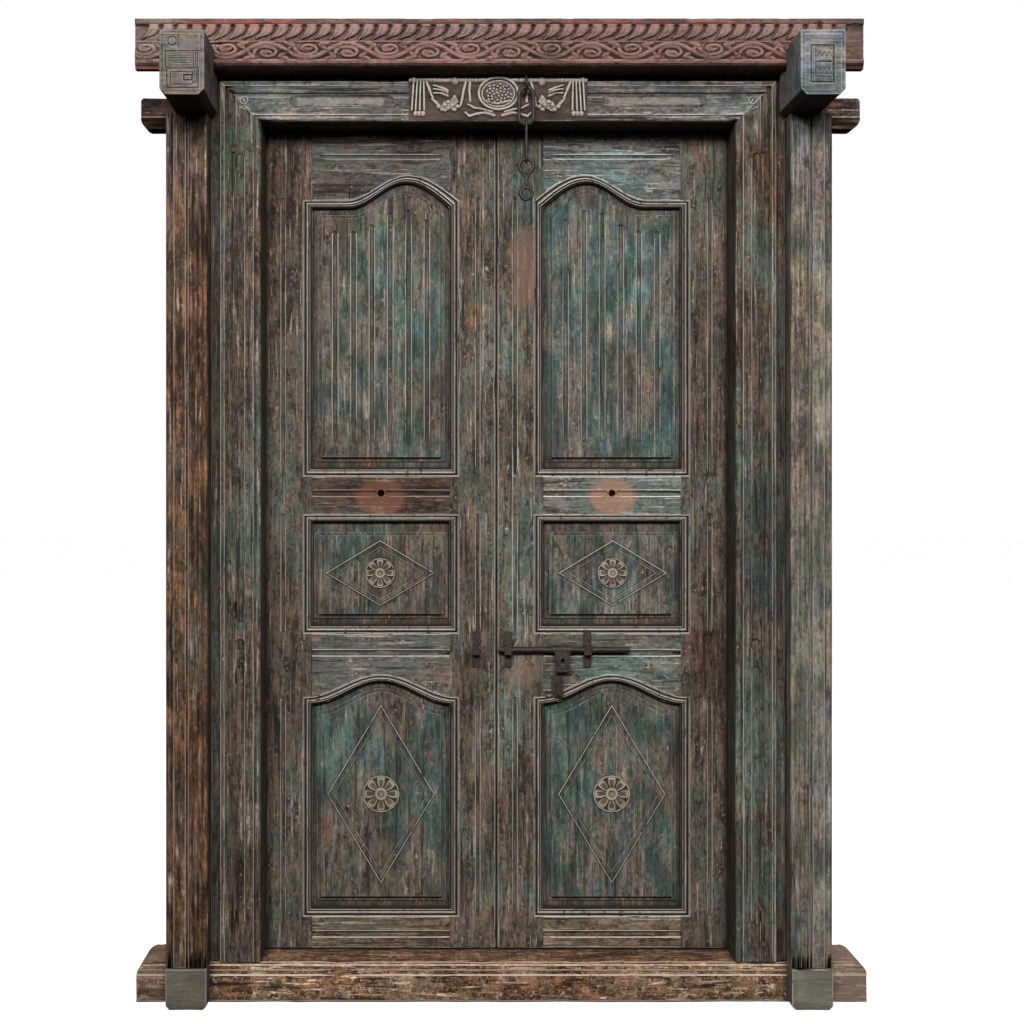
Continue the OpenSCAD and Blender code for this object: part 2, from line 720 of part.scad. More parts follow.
module hasp() {
    r = rod_r + 3.5;
    color(iron) difference() {
        union() {
            translate([hasp_x - hasp_w / 2, rod_y, rod_z]) rotate([0, 90, 0]) cylinder(h = hasp_w, r = r);
            translate([hasp_x - hasp_w / 2, rod_y - r, rod_z - hasp_l]) cube([hasp_w, hasp_t, hasp_l]);
        }
        translate([hasp_x - hasp_w, rod_y, rod_z]) rotate([0, 90, 0])
            cylinder(h = 2 * hasp_w, r = rod_r + 0.1);
        translate([hasp_x - 4, rod_y - r - 1, rod_z - hasp_l + 8]) cube([8, hasp_t + 2, 22]);
    }
}

// A wire ring with straight sides, in the plane of X and Z, between two wire centres
module long_ring(z_top, z_bottom, half, d) {
    for (e = [[z_top - half, 0], [z_bottom + half, 180]]) translate([0, 0, e[0]]) rotate([90, e[1], 0])
        rotate_extrude(angle = 180) translate([half, 0]) circle(d = d, $fn = 20);
    for (s = [-1, 1]) translate([s * half, 0, z_bottom + half])
        cylinder(h = z_top - z_bottom - 2 * half, d = d, $fn = 20);
}

module chain_staple() {
    color(iron) {
        translate([chain_x, chain_y, eye_z]) rotate([0, 90, 0]) rotate_extrude()
            translate([eye_r, 0]) circle(r = eye_wire, $fn = 20);
        translate([chain_x, chain_y + eye_r - 1, eye_z]) rotate([-90, 0, 0])
            cylinder(h = front - chain_y - eye_r + 1 + shank_in, r = eye_wire);
    }
}

// The hole that the staple's shank is driven into
module staple_hole() {
    translate([chain_x, front - garland_t - 1, eye_z]) rotate([-90, 0, 0])
        cylinder(h = garland_t + 2 + shank_in, r = eye_wire + peg_gap);
}

module chain_ring() {
    color(iron) translate([chain_x, chain_y, 0]) long_ring(ring_top, ring_bottom, ring_half, ring_d);
}

module chain_link() {
    color(iron) translate([chain_x, chain_y, 0]) rotate([0, 0, 90])
        long_ring(link_top, link_bottom, link_half, link_d);
}

module chain_hook_link() {
    lean = atan2(hook_r1 + hook_r2 - 13, hook_z1 - hook_z2 - 20);
    color(iron) translate([chain_x, chain_y, 0]) {
        for (e = [[hook_z1, hook_r1], [hook_z2, hook_r2]]) translate([0, 0, e[0]]) rotate([90, 0, 0])
            rotate_extrude() translate([e[1], 0]) circle(d = hook_d, $fn = 20);
        for (s = [-1, 1]) translate([s * -6.5, 0, hook_z2 + 10]) rotate([0, s * lean, 0])
            cylinder(h = norm([hook_z1 - hook_z2 - 20, hook_r1 + hook_r2 - 13]), d = hook_d, $fn = 20);
    }
}

sill();
lintel();
jamb();  // jamb_left
right_side() jamb();  // jamb_right
post();  // post_left
right_side() post();  // post_right
base_block();  // base_block_left
right_side() base_block();  // base_block_right
bracket();  // bracket_left
right_side() bracket();  // bracket_right
cornice();
lintel_garland();
frame_pegs();
pivot_sockets();
for (part = ["hinge_stile", "lock_stile", "top_rail", "upper_mid_rail", "lower_mid_rail", "bottom_rail",
    "upper_panel", "middle_panel", "lower_panel", "middle_lozenge", "lower_lozenge", "middle_rosette",
    "lower_rosette", "pegs", "pivots"]) {
    leaf_node(part);
    right_side() leaf_node(part);
}
keeper();
bolt_guides();
padlock_staple();
bolt_rod();
hasp();
chain_staple();
chain_ring();
chain_link();
chain_hook_link();
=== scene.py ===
"""Old two-leaf carved door in its frame: worn painted timber, carved cornice and garland, forged iron."""

import json
import math

import bmesh
import bpy
import numpy as np
from mathutils import Matrix, Vector, noise

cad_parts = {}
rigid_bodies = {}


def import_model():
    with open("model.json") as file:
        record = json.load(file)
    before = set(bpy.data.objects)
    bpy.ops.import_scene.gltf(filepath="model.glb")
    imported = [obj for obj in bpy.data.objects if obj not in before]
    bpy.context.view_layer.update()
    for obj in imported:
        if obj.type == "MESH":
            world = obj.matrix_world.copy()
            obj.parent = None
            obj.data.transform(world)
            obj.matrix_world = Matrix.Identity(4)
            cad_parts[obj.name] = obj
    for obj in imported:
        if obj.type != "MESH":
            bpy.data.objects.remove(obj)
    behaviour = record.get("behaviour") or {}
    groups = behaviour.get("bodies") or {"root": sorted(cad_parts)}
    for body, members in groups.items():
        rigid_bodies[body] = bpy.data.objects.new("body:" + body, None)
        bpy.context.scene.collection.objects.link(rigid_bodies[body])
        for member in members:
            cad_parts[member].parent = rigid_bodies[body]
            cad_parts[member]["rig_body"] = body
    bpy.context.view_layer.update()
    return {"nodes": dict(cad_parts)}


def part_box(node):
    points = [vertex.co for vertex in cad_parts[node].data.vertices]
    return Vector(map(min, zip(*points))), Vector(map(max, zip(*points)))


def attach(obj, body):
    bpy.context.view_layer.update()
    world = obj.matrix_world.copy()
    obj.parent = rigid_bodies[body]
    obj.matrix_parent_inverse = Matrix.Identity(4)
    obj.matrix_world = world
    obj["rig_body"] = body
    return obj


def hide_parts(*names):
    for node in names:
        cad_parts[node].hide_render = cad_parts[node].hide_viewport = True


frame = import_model()

MM = 0.001

# Main planes, from the frame
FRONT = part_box("sill")[0].y
LINTEL_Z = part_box("left_hinge_stile")[1].z - 10 * MM
LEAF_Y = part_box("left_lock_stile")[0].y
FIELD_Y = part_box("left_upper_panel")[0].y
SIGHT_X0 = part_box("left_hinge_stile")[1].x
SIGHT_X1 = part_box("left_lock_stile")[0].x
MOULD = 20 * MM
HEAD_INSET = 0.8
OPENING_X = -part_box("left_hinge_stile")[0].x
FLUTES_FROM = 45 * MM
BODIES = {"left": "left_leaf", "right": "right_leaf"}


# ---------- shader building ----------
class Tree:
    """A node tree with short calls; values may be numbers, colours or sockets."""

    def __init__(self, tree):
        self.tree = tree

    def put(self, socket, value):
        if isinstance(value, bpy.types.NodeSocket):
            self.tree.links.new(value, socket)
        elif value is not None:
            if hasattr(value, "__len__") and len(value) == 3 and socket.type == "RGBA":
                value = (*value, 1)
            socket.default_value = value

    def node(self, kind, inputs=(), **settings):
        n = self.tree.nodes.new(kind)
        for key, value in settings.items():
            setattr(n, key, value)
        for key, value in dict(inputs).items():
            self.put(n.inputs[key], value)
        return n

    def math(self, operation, a, b=0.0, clamp=False):
        n = self.node("ShaderNodeMath", {0: a, 1: b}, operation=operation, use_clamp=clamp)
        return n.outputs[0]

    def mix(self, factor, a, b, blend="MIX"):
        n = self.node("ShaderNodeMix", data_type="RGBA", blend_type=blend)
        self.put(n.inputs[0], factor)
        self.put(n.inputs[6], a)
        self.put(n.inputs[7], b)
        return n.outputs[2]

    def span(self, value, low, high, to_low=0.0, to_high=1.0):
        """A smooth step of value from low to high."""
        n = self.node("ShaderNodeMapRange", {0: value, 1: low, 2: high, 3: to_low, 4: to_high},
                      interpolation_type="SMOOTHSTEP")
        return n.outputs[0]

    def scaled(self, vector, by):
        return self.node("ShaderNodeVectorMath", {0: vector, 1: by}, operation="MULTIPLY").outputs[0]

    def moved(self, vector, by):
        return self.node("ShaderNodeVectorMath", {0: vector, 1: by}, operation="ADD").outputs[0]

    def noise(self, vector, scale, detail=4.0, rough=0.6, distortion=0.0):
        n = self.node("ShaderNodeTexNoise", {"Vector": vector, "Scale": scale, "Detail": detail,
                                             "Roughness": rough, "Distortion": distortion})
        return n.outputs[0]


def new_group(name, inputs, outputs):
    """An empty node group; inputs and outputs are (name, kind, default)."""
    tree = bpy.data.node_groups.new(name, "ShaderNodeTree")
    for label, kind, default in inputs:
        s = tree.interface.new_socket(label, in_out="INPUT", socket_type=f"NodeSocket{kind}")
        if default is not None:
            s.default_value = (*default, 1) if kind == "Color" else default
    for label, kind in outputs:
        tree.interface.new_socket(label, in_out="OUTPUT", socket_type=f"NodeSocket{kind}")
    t = Tree(tree)
    return tree, t, t.node("NodeGroupInput").outputs, t.node("NodeGroupOutput").inputs


def make_corner_shade_and_dirt():
    """A mask for inner corners, which hold dirt and get painted shade."""
    tree, t, i, o = new_group("corner_shade_and_dirt", [("Size", "Float", 0.02)], [("Dirt_and_shade", "Float")])
    outer = t.node("ShaderNodeAmbientOcclusion", {"Distance": i["Size"]}, samples=3)
    t.put(o["Dirt_and_shade"], t.span(outer.outputs["AO"], 0.85, 0.3))
    return tree


def patch_group():
    """A mask that is 1 in a box of X and Z, or in an oval, with a ragged edge."""
    tree, t, i, o = new_group("patch", [("Vector", "Vector", None), ("Centre", "Vector", None),
                                        ("Half", "Vector", None),
                                        ("Oval", "Float", 0.0), ("Ragged", "Float", 0.02),
                                        ("Soft", "Float", 0.01)],
                              [("Mask", "Float")])
    away = t.node("ShaderNodeVectorMath", {0: i["Vector"], 1: i["Centre"]}, operation="SUBTRACT").outputs[0]
    away = t.node("ShaderNodeVectorMath", {0: away}, operation="ABSOLUTE").outputs[0]
    over = t.node("ShaderNodeVectorMath", {0: away, 1: i["Half"]}, operation="SUBTRACT").outputs[0]
    over = t.node("ShaderNodeSeparateXYZ", {0: over}).outputs
    half = t.node("ShaderNodeSeparateXYZ", {0: i["Half"]}).outputs
    flat = t.node("ShaderNodeVectorMath", {0: away, 1: i["Half"]}, operation="DIVIDE").outputs[0]
    round_off = t.math("SUBTRACT", t.node("ShaderNodeVectorMath", {0: flat},
                                          operation="LENGTH").outputs["Value"], 1.0)
    round_off = t.math("MULTIPLY", round_off, half["X"])
    far = t.math("MAXIMUM", over["X"], over["Z"])
    far = t.math("ADD", t.math("MULTIPLY", far, t.math("SUBTRACT", 1.0, i["Oval"])),
                 t.math("MULTIPLY", round_off, i["Oval"]))
    wobble = t.math("SUBTRACT", t.noise(t.scaled(i["Vector"], (1, 1, 0.5)), 45.0, 4.0, 0.7), 0.5)
    far = t.math("ADD", far, t.math("MULTIPLY", wobble, t.math("MULTIPLY", i["Ragged"], 4.0)))
    inside = t.node("ShaderNodeMapRange", {0: far, 1: i["Soft"], 2: t.math("MULTIPLY", i["Soft"], -1.0)},
                    interpolation_type="SMOOTHSTEP")
    t.put(o["Mask"], inside.outputs[0])
    return tree


def aged_paint_group():
    """Old paint over timber whose grain runs along Z: clouds, tints, mottling, flakes, cracks, worn edges
    and painted shade with grime."""
    tree, t, i, o = new_group(
        "aged_paint",
        [("Vector", "Vector", None), ("Seed", "Float", 0.0), ("Paint A", "Color", (0.2, 0.25, 0.22)),
         ("Paint B", "Color", (0.3, 0.3, 0.27)), ("Tint", "Color", (0.2, 0.08, 0.04)),
         ("Tinted", "Float", 0.4),
         ("Wood A", "Color", (0.14, 0.08, 0.05)), ("Wood B", "Color", (0.25, 0.18, 0.13)),
         ("Primer", "Color", (0.5, 0.47, 0.42)), ("Bare", "Float", 0.5), ("Short", "Float", 1.0),
         ("Streaks", "Float", 0.6), ("Shade", "Color", (1, 1, 1)), ("Patchy", "Float", 0.7),
         ("Flakes", "Float", 0.5), ("Lines", "Float", 0.5), ("Cracks", "Float", 0.5),
         ("Extra bare", "Float", 0.0), ("Worn", "Float", 0.0), ("Painted_shade_and_grime", "Float", 0.0)],
        [("Color", "Color"), ("Roughness", "Float"), ("Height", "Float")])
    v = t.moved(i["Vector"], t.node("ShaderNodeCombineXYZ",
                                    {0: i["Seed"], 1: i["Seed"], 2: i["Seed"]}).outputs[0])
    v = t.scaled(v, t.node("ShaderNodeCombineXYZ", {0: 1.0, 1: 1.0, 2: i["Short"]}).outputs[0])
    cloud = t.noise(t.scaled(v, (1, 1, 0.5)), 10.0, 3.0, 0.6)
    tint = t.noise(t.scaled(v, (1, 1, 0.45)), 30.0, 5.0, 0.7)
    streak = t.noise(t.scaled(v, (1, 1, 0.10)), 105.0, 5.0, 0.74)
    fibre = t.noise(t.scaled(v, (1, 1, 0.08)), 330.0, 2.0, 0.6)
    flake = t.noise(t.scaled(v, (1, 1, 0.5)), 52.0, 6.0, 0.8)
    mottle = t.noise(t.scaled(v, (1, 1, 0.6)), 150.0, 5.0, 0.85)
    # bare timber and the paint, each with its own change of colour
    wood = t.mix(t.span(t.math("ADD", streak, tint), 0.86, 1.14), i["Wood A"], i["Wood B"])
    paint = t.mix(t.span(cloud, 0.43, 0.57), i["Paint A"], i["Paint B"])
    paint = t.mix(t.math("MULTIPLY", t.span(tint, 0.50, 0.60), i["Tinted"]), paint, i["Tint"])
    # where the paint has gone
    worn = t.math("ADD", t.math("MULTIPLY", flake, 0.50), t.math("MULTIPLY", streak, 0.20))
    worn = t.math("ADD", worn, t.math("MULTIPLY", cloud, 0.30))
    over = t.math("SUBTRACT", worn, t.math("SUBTRACT", 0.70, t.math("MULTIPLY", i["Bare"], 0.40)))
    gone = t.math("MAXIMUM", t.span(over, -0.03, 0.03), i["Extra bare"])
    colour = t.mix(gone, paint, wood)
    # light and dark mottling, with streaks along the grain
    shade = t.math("ADD", t.math("MULTIPLY", streak, 0.40), t.math("MULTIPLY", fibre, 0.20))
    shade = t.math("ADD", shade, t.math("MULTIPLY", mottle, 0.40))
    tone = t.mix(t.span(shade, 0.37, 0.63), (0.16, 0.15, 0.14), (1.90, 1.88, 1.86))
    colour = t.mix(i["Streaks"], colour, tone, "MULTIPLY")
    # pale lines along the grain, then small flakes of primer and dark chips
    line = t.noise(t.scaled(v, (1, 1, 0.045)), 150.0, 2.0, 0.5)
    line = t.math("MULTIPLY", t.span(line, 0.60, 0.66), i["Lines"])
    colour = t.mix(t.math("MULTIPLY", line, t.span(flake, 0.42, 0.56)), colour, i["Primer"])
    chips = t.math("MULTIPLY", t.span(t.math("ADD", mottle, flake), 1.12, 1.24), i["Flakes"])
    colour = t.mix(chips, colour, i["Primer"])
    holes = t.math("MULTIPLY", t.span(t.math("ADD", mottle, flake), 0.86, 0.74), i["Flakes"])
    colour = t.mix(holes, colour, (0.016, 0.012, 0.010))
    crack = t.noise(t.scaled(v, (1, 1, 0.035)), 115.0, 3.0, 0.6)
    crack = t.math("MULTIPLY", t.span(crack, 0.40, 0.35), i["Cracks"])
    colour = t.mix(crack, colour, (0.014, 0.010, 0.008))
    # broad lighter and darker areas, and a slow drift between yellowish and bluish
    broad = t.noise(t.scaled(v, (1, 1, 0.50)), 20.0, 4.0, 0.65)
    broad = t.mix(t.span(broad, 0.38, 0.62), (0.62, 0.62, 0.62), (1.42, 1.42, 1.42))
    colour = t.mix(i["Patchy"], colour, broad, "MULTIPLY")
    drift = t.noise(t.scaled(v, (1, 1, 0.55)), 30.0, 3.0, 0.6)
    drift = t.mix(t.span(drift, 0.38, 0.62), (1.01, 1.02, 0.88), (1.0, 0.99, 1.10))
    colour = t.mix(i["Patchy"], colour, drift, "MULTIPLY")
    colour = t.mix(1.0, colour, i["Shade"], "MULTIPLY")
    # worn arrises, then painted shade with grime in corners, hollows and under things
    edge = t.math("MULTIPLY", i["Worn"], t.span(t.math("ADD", flake, streak), 0.80, 0.94))
    colour = t.mix(edge, colour, i["Primer"])
    colour = t.mix(i["Painted_shade_and_grime"], colour, (0.014, 0.009, 0.007))
    t.put(o["Color"], colour)
    t.put(o["Roughness"], t.math("ADD", 0.66, t.math("MULTIPLY", fibre, 0.3), True))
    height = t.math("ADD", t.math("MULTIPLY", fibre, 0.45), t.math("MULTIPLY", streak, 0.65))
    t.put(o["Height"], t.math("SUBTRACT", height, t.math("MULTIPLY", crack, 0.8)))
    return tree


SHADE_AND_DIRT_GROUP = make_corner_shade_and_dirt()
PATCH = patch_group()
AGED = aged_paint_group()

ALONG = {"Z": (0, 0, 0), "X": (0, math.pi / 2, 0)}


def tone(red, green, blue):
    """A colour given as it looks, from 0 to 255, as the linear values that Blender takes."""
    return tuple(((c / 255 + 0.055) / 1.055) ** 2.4 for c in (red, green, blue))


def patch(x, z, half_x, half_z, tint=None, strength=1.0, ragged=0.02, soft=0.01, oval=0.0, cover=None):
    """A place on the face where the finish differs: tinted, covered with a colour, or bare wood; some tints
    are painted shade. Millimetres."""
    return {"tint": tint, "cover": cover, "strength": strength, "oval": oval, "ragged": ragged, "soft": soft,
            "Centre": (x * MM, 0, z * MM), "Half": (half_x * MM, 9, half_z * MM)}


def aged_material(name, grain, seed, bump=0.7, patches=(), corner_shade_size=22 * MM, shade_and_dirt_amount=0.88, raised=None,
                  **values):
    """A worn paint finish with its grain along an axis; raised gives the colour of a carving's ground:
    painted shade between the raised parts.
    """
    material = bpy.data.materials.new(name)
    material.use_nodes = True
    t = Tree(material.node_tree)
    shader = material.node_tree.nodes["Principled BSDF"]
    place = t.node("ShaderNodeTexCoord").outputs["Object"]
    vector = t.node("ShaderNodeMapping", {"Vector": place, "Rotation": ALONG[grain]}).outputs[0]
    # ambient occlusion darkens inner corners: painted shade, with dirt
    shade_dirt_node = t.node("ShaderNodeGroup", node_tree=SHADE_AND_DIRT_GROUP)
    shade_dirt_node.inputs["Size"].default_value = corner_shade_size
    # marked hollows, quirks and undersides darken: painted shade, with grime
    shade_and_grime = t.node("ShaderNodeAttribute", attribute_name="shade_and_grime").outputs["Fac"]
    paint = t.node("ShaderNodeGroup", node_tree=AGED)
    t.put(paint.inputs["Vector"], vector)
    t.put(paint.inputs["Seed"], seed)
    t.put(paint.inputs["Worn"], t.node("ShaderNodeAttribute", attribute_name="worn").outputs["Fac"])
    t.put(paint.inputs["Painted_shade_and_grime"], t.math("MULTIPLY", t.math("MAXIMUM", shade_dirt_node.outputs["Dirt_and_shade"], shade_and_grime),
                                        shade_and_dirt_amount))
    for key, value in values.items():
        t.put(paint.inputs[key.replace("_", " ")], value)
    colour = paint.outputs["Color"]
    bare = None
    for spot in patches:
        mask = t.node("ShaderNodeGroup", node_tree=PATCH)
        t.put(mask.inputs["Vector"], place)
        for key in ("Centre", "Half"):
            t.put(mask.inputs[key], spot[key])
        for key in ("oval", "ragged", "soft"):
            t.put(mask.inputs[key.capitalize()], spot[key])
        mask = t.math("MULTIPLY", mask.outputs["Mask"], spot["strength"])
        if spot["cover"] is not None:
            colour = t.mix(mask, colour, spot["cover"])
        elif spot["tint"] is None:
            bare = mask if bare is None else t.math("MAXIMUM", bare, mask)
        else:
            colour = t.mix(mask, colour, t.mix(1.0, colour, spot["tint"], "MULTIPLY"))
    if bare is not None:
        t.put(paint.inputs["Extra bare"], bare)
    # the ground between the raised carving is darkened: painted shade
    if raised is not None:
        ground = t.node("ShaderNodeAttribute", attribute_name="raised").outputs["Fac"]
        colour = t.mix(ground, t.mix(1.0, colour, raised, "MULTIPLY"), colour)
    t.put(shader.inputs["Base Color"], colour)
    t.put(shader.inputs["Roughness"], paint.outputs["Roughness"])
    shader.inputs["Specular IOR Level"].default_value = 0.22
    t.put(shader.inputs["Normal"], t.node("ShaderNodeBump",
                                          {"Height": paint.outputs["Height"], "Distance": 1.6 * MM,
                                                             "Strength": bump}).outputs[0])
    return material


def iron_material(name, dark, rust, amount):
    """Forged iron: dark scale with rust in blotches and pits."""
    material = bpy.data.materials.new(name)
    material.use_nodes = True
    t = Tree(material.node_tree)
    shader = material.node_tree.nodes["Principled BSDF"]
    place = t.node("ShaderNodeTexCoord").outputs["Object"]
    blotch = t.noise(place, 60.0, 6.0, 0.7)
    pits = t.noise(place, 330.0, 4.0, 0.7)
    mask = t.math("MULTIPLY", t.span(blotch, 0.42, 0.62), amount)
    colour = t.mix(mask, dark, rust)
    colour = t.mix(t.span(pits, 0.54, 0.68), colour, tone(116, 100, 88))
    colour = t.mix(t.span(pits, 0.45, 0.3), colour, (0.006, 0.004, 0.004))
    t.put(shader.inputs["Base Color"], colour)
    t.put(shader.inputs["Roughness"], t.span(blotch, 0.3, 0.7, 0.42, 0.75))
    shader.inputs["Metallic"].default_value = 0.5
    t.put(shader.inputs["Normal"], t.node("ShaderNodeBump", {"Height": pits, "Distance": 0.8 * MM,
                                                             "Strength": 0.7}).outputs[0])
    return material


# ---------- mesh building ----------
def finish(name, mesh, body, material, replaces=(), sharp=32):
    """A finished piece: a mesh in its place, on a body, with its material."""
    mesh.materials.clear()
    mesh.materials.append(material)
    mesh.shade_smooth()
    mesh.set_sharp_from_angle(angle=math.radians(sharp))
    piece = bpy.data.objects.new(name, mesh)
    bpy.context.scene.collection.objects.link(piece)
    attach(piece, body)
    if replaces:
        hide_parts(*replaces)
    return piece


def mesh_from(name, points, faces):
    mesh = bpy.data.meshes.new(name)
    mesh.from_pydata([tuple(p) for p in points], [], [tuple(f) for f in faces])
    mesh.update()
    return mesh


TINY = 1e-6
WELD = 1e-5


def opened(mesh, distance):
    """A mesh opened for editing, with points closer than the distance merged."""
    bm = bmesh.new()
    bm.from_mesh(mesh)
    bmesh.ops.remove_doubles(bm, verts=bm.verts, dist=distance)
    return bm


def closed(bm, mesh):
    """Writes an edited mesh back."""
    bm.to_mesh(mesh)
    bm.free()
    return mesh


def outward(mesh):
    """Merges doubles and points a closed mesh's faces outwards."""
    bm = opened(mesh, TINY)
    bmesh.ops.recalc_face_normals(bm, faces=bm.faces)
    return closed(bm, mesh)


def joined(name, meshes):
    """One mesh from several."""
    bm = bmesh.new()
    for m in meshes:
        bm.from_mesh(m)
    mesh = bpy.data.meshes.new(name)
    bm.to_mesh(mesh)
    bm.free()
    for m in meshes:
        bpy.data.meshes.remove(m)
    return mesh


def cuts_along(bm, axis, step):
    """Cuts a mesh across its length at every step, so that its long edges can wear unevenly."""
    low = min(v.co[axis] for v in bm.verts)
    high = max(v.co[axis] for v in bm.verts)
    normal = Vector([1 if k == axis else 0 for k in range(3)])
    for k in range(1, max(1, round((high - low) / step))):
        at = normal * (low + k * step * (high - low) / (step * round((high - low) / step)))
        geometry = bm.verts[:] + bm.edges[:] + bm.faces[:]
        bmesh.ops.bisect_plane(bm, geom=geometry, dist=TINY, plane_co=at, plane_no=normal)


SHORTEST_ARRIS = 7 * MM
WORN_ANGLE = 0.6
BEVEL_ANGLE = 0.55
CHIP_FROM = 0.32
CHIP_SIZE = 7
MEETING_GAP = 2 * MM
MEETING_SEEN = 0.05 * MM


def at_meeting(v):
    """Whether a point is on the edges where the leaves meet, which stay straight and nearly close the gap."""
    return abs(v.co.x) < 0.7 * MEETING_GAP and v.co.y > LEAF_Y


def at_joint(v):
    """Whether a point is on a flush joint between a leaf's stiles and rails."""
    off_joint = min(abs(abs(v.co.x) + SIGHT_X0), abs(abs(v.co.x) + SIGHT_X1))
    return v.co.y > LEAF_Y - 1 * MM and off_joint < 0.5 * MM


def kept(v):
    """Whether a point stays sharp."""
    return at_meeting(v) or at_joint(v)


def arris(e, angle):
    """Whether an edge is a sharp outer one that is long enough to wear."""
    return len(e.link_faces) == 2 and e.calc_face_angle_signed(0) > angle and e.calc_length() > SHORTEST_ARRIS


def wear_edges(bm, amount, seed, scale=30.0):
    """Moves the points of sharp outer edges in by an uneven amount, with a bigger chip here and there."""
    bm.normal_update()
    shift = Vector((seed * 3.1, seed * 1.7, seed * 2.3))
    moves = []
    for v in bm.verts:
        outer = [e for e in v.link_edges if arris(e, WORN_ANGLE)]
        if not outer or kept(v):
            continue
        normal = sum((f.normal for e in outer for f in e.link_faces), Vector()).normalized()
        uneven = noise.noise(v.co * scale + shift)
        chip = max(0.0, noise.noise(v.co * scale * 0.6 + shift * 2) - CHIP_FROM) * CHIP_SIZE
        moves.append((v, normal * (-amount * (0.5 + 0.5 * uneven + chip))))
    for v, move in moves:
        v.co += move


def mark(mesh, name, values, domain):
    """A number for each face or point, for the finish to read."""
    mesh.attributes.new(name, "FLOAT", domain).data.foreach_set("value", np.asarray(values, dtype=np.float32))


def timber(node, material, seed, axis=None, step=0.045, wear=1.0 * MM, bevel=1.2 * MM, under=0.0,
           reveal_shade=0.0, sunk_front=0.0, outline_wear=1.0):
    """A CAD timber with uneven, rounded arrises, marked as worn. Under is the painted shade on faces that
    look down, reveal_shade the painted shade on those that look into the opening, and outline_wear the wear
    of a panel's outline beside that of its flutes."""
    body = frame["nodes"][node]["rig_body"]
    bm = opened(frame["nodes"][node].data, WELD)
    bmesh.ops.dissolve_limit(bm, angle_limit=math.radians(1), verts=bm.verts, edges=bm.edges)
    low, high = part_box(node)
    size = high - low
    axis = max(range(3), key=lambda k: size[k]) if axis is None else axis
    for v in bm.verts:
        if v.co.y < low.y + 0.2 * MM:
            v.co.y += sunk_front
    cuts_along(bm, axis, step)
    wear_edges(bm, wear, seed)
    for f in bm.faces:
        f.material_index = 0
    arrises = [e for e in bm.edges if arris(e, BEVEL_ANGLE) and not all(kept(v) for v in e.verts)]
    bmesh.ops.bevel(bm, geom=arrises, offset=bevel, offset_type="OFFSET", segments=2, profile=0.6,
                    affect="EDGES", clamp_overlap=False, material=1)
    for v in bm.verts:
        v.co = [min(max(v.co[k], low[k]), high[k]) for k in range(3)]
        if at_meeting(v):
            v.co.x = math.copysign(MEETING_SEEN, v.co.x)
    bm.normal_update()

    def wear_of(f):
        middle = f.calc_center_median()
        flute = abs(f.normal.x) > abs(f.normal.z) and low.x + FLUTES_FROM < middle.x < high.x - FLUTES_FROM
        return f.material_index * (1.0 if flute else outline_wear)

    # faces that look down or into the opening are darkened: painted shade
    def shade_of(f):
        inward = abs(f.normal.x) > 0.7 and abs(f.calc_center_median().x) < OPENING_X + 2 * MM
        return max(under if f.normal.z < -0.6 else 0.0, reveal_shade if inward else 0.0)

    worn = [wear_of(f) for f in bm.faces]
    shaded = [shade_of(f) for f in bm.faces]
    mesh = closed(bm, bpy.data.meshes.new(node))
    mark(mesh, "worn", worn, "FACE")
    mark(mesh, "shade_and_grime", shaded, "FACE")
    mesh.polygons.foreach_set("material_index", [0] * len(mesh.polygons))
    piece = finish("worn_" + node, mesh, body, material, [node])
    even = piece.modifiers.new("even shading", "WEIGHTED_NORMAL")
    even.keep_sharp = True
    return piece


# ---------- panel openings ----------
def swan(t):
    if t < 0.27:
        return 0.0
    if t < 0.68:
        return (1 - math.cos(math.pi * (t - 0.27) / 0.41)) / 2
    return math.cos(math.pi / 2 * (t - 0.68) / 0.32)


def ogee(t):
    return (1 - math.cos(2 * math.pi * t)) / 2


HEADS = {"swan": swan, "ogee": ogee, "flat": lambda t: 0.0}


def opening(below, above, rise, kind):
    """A panel opening between two rails of the left leaf, at its outer line."""
    return {"x0": SIGHT_X0 - MOULD, "x1": SIGHT_X1 + MOULD, "z0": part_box("left_" + below)[1].z - MOULD,
            "z1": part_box("left_" + above)[0].z + MOULD * HEAD_INSET, "rise": rise, "kind": kind}


OPENINGS = {"lower": opening("bottom_rail", "lower_mid_rail", 51 * MM, "ogee"),
            "middle": opening("lower_mid_rail", "upper_mid_rail", 0, "flat"),
            "upper": opening("upper_mid_rail", "top_rail", 57 * MM, "swan")}


def outline(o, inset, top=0.0, steps=48):
    """Points of an opening's outline, moved in by inset: bottom corners, then the head from right to left."""
    x0, x1 = o["x0"] + inset, o["x1"] - inset
    shoulder = o["z1"] - inset * HEAD_INSET - top
    head = HEADS[o["kind"]]
    points = [(x0, o["z0"] + inset + top / 2), (x1, o["z0"] + inset + top / 2)]
    for k in range(steps, -1, -1):
        points.append((x0 + (x1 - x0) * k / steps, shoulder + o["rise"] * head(k / steps)))
    return points


def outline_strip(name, o, profile, worn, shade_and_grime):
    """A closed strip that follows an opening: profile is a closed loop of (inset, y), with marks for each
    band: worn, and painted shade with grime."""
    rings = [outline(o, inset) for inset, y in profile]
    count = len(rings[0])
    points = [(x, profile[k][1], z) for k, ring in enumerate(rings) for x, z in ring]
    faces = []
    for k in range(len(profile)):
        m = (k + 1) % len(profile)
        for j in range(count):
            n = (j + 1) % count
            faces.append((k * count + j, k * count + n, m * count + n, m * count + j))
    mesh = mesh_from(name, points, faces)
    mark(mesh, "worn", [w * (UPRIGHT_WEAR if j in (1, count - 1) else 1) for w in worn for j in range(count)],
         "FACE")
    # quirks and hollows of the moulding are darkened: painted shade
    mark(mesh, "shade_and_grime", [1.0 if g else 0.0 for g in shade_and_grime for j in range(count)], "FACE")
    return outward(mesh)


def mirrored(mesh, side):
    """The mesh itself on the left leaf, and its mirror image on the right one."""
    if side == "right":
        mesh.transform(Matrix.Diagonal((-1, 1, 1, 1)))
        mesh.flip_normals()
    return mesh
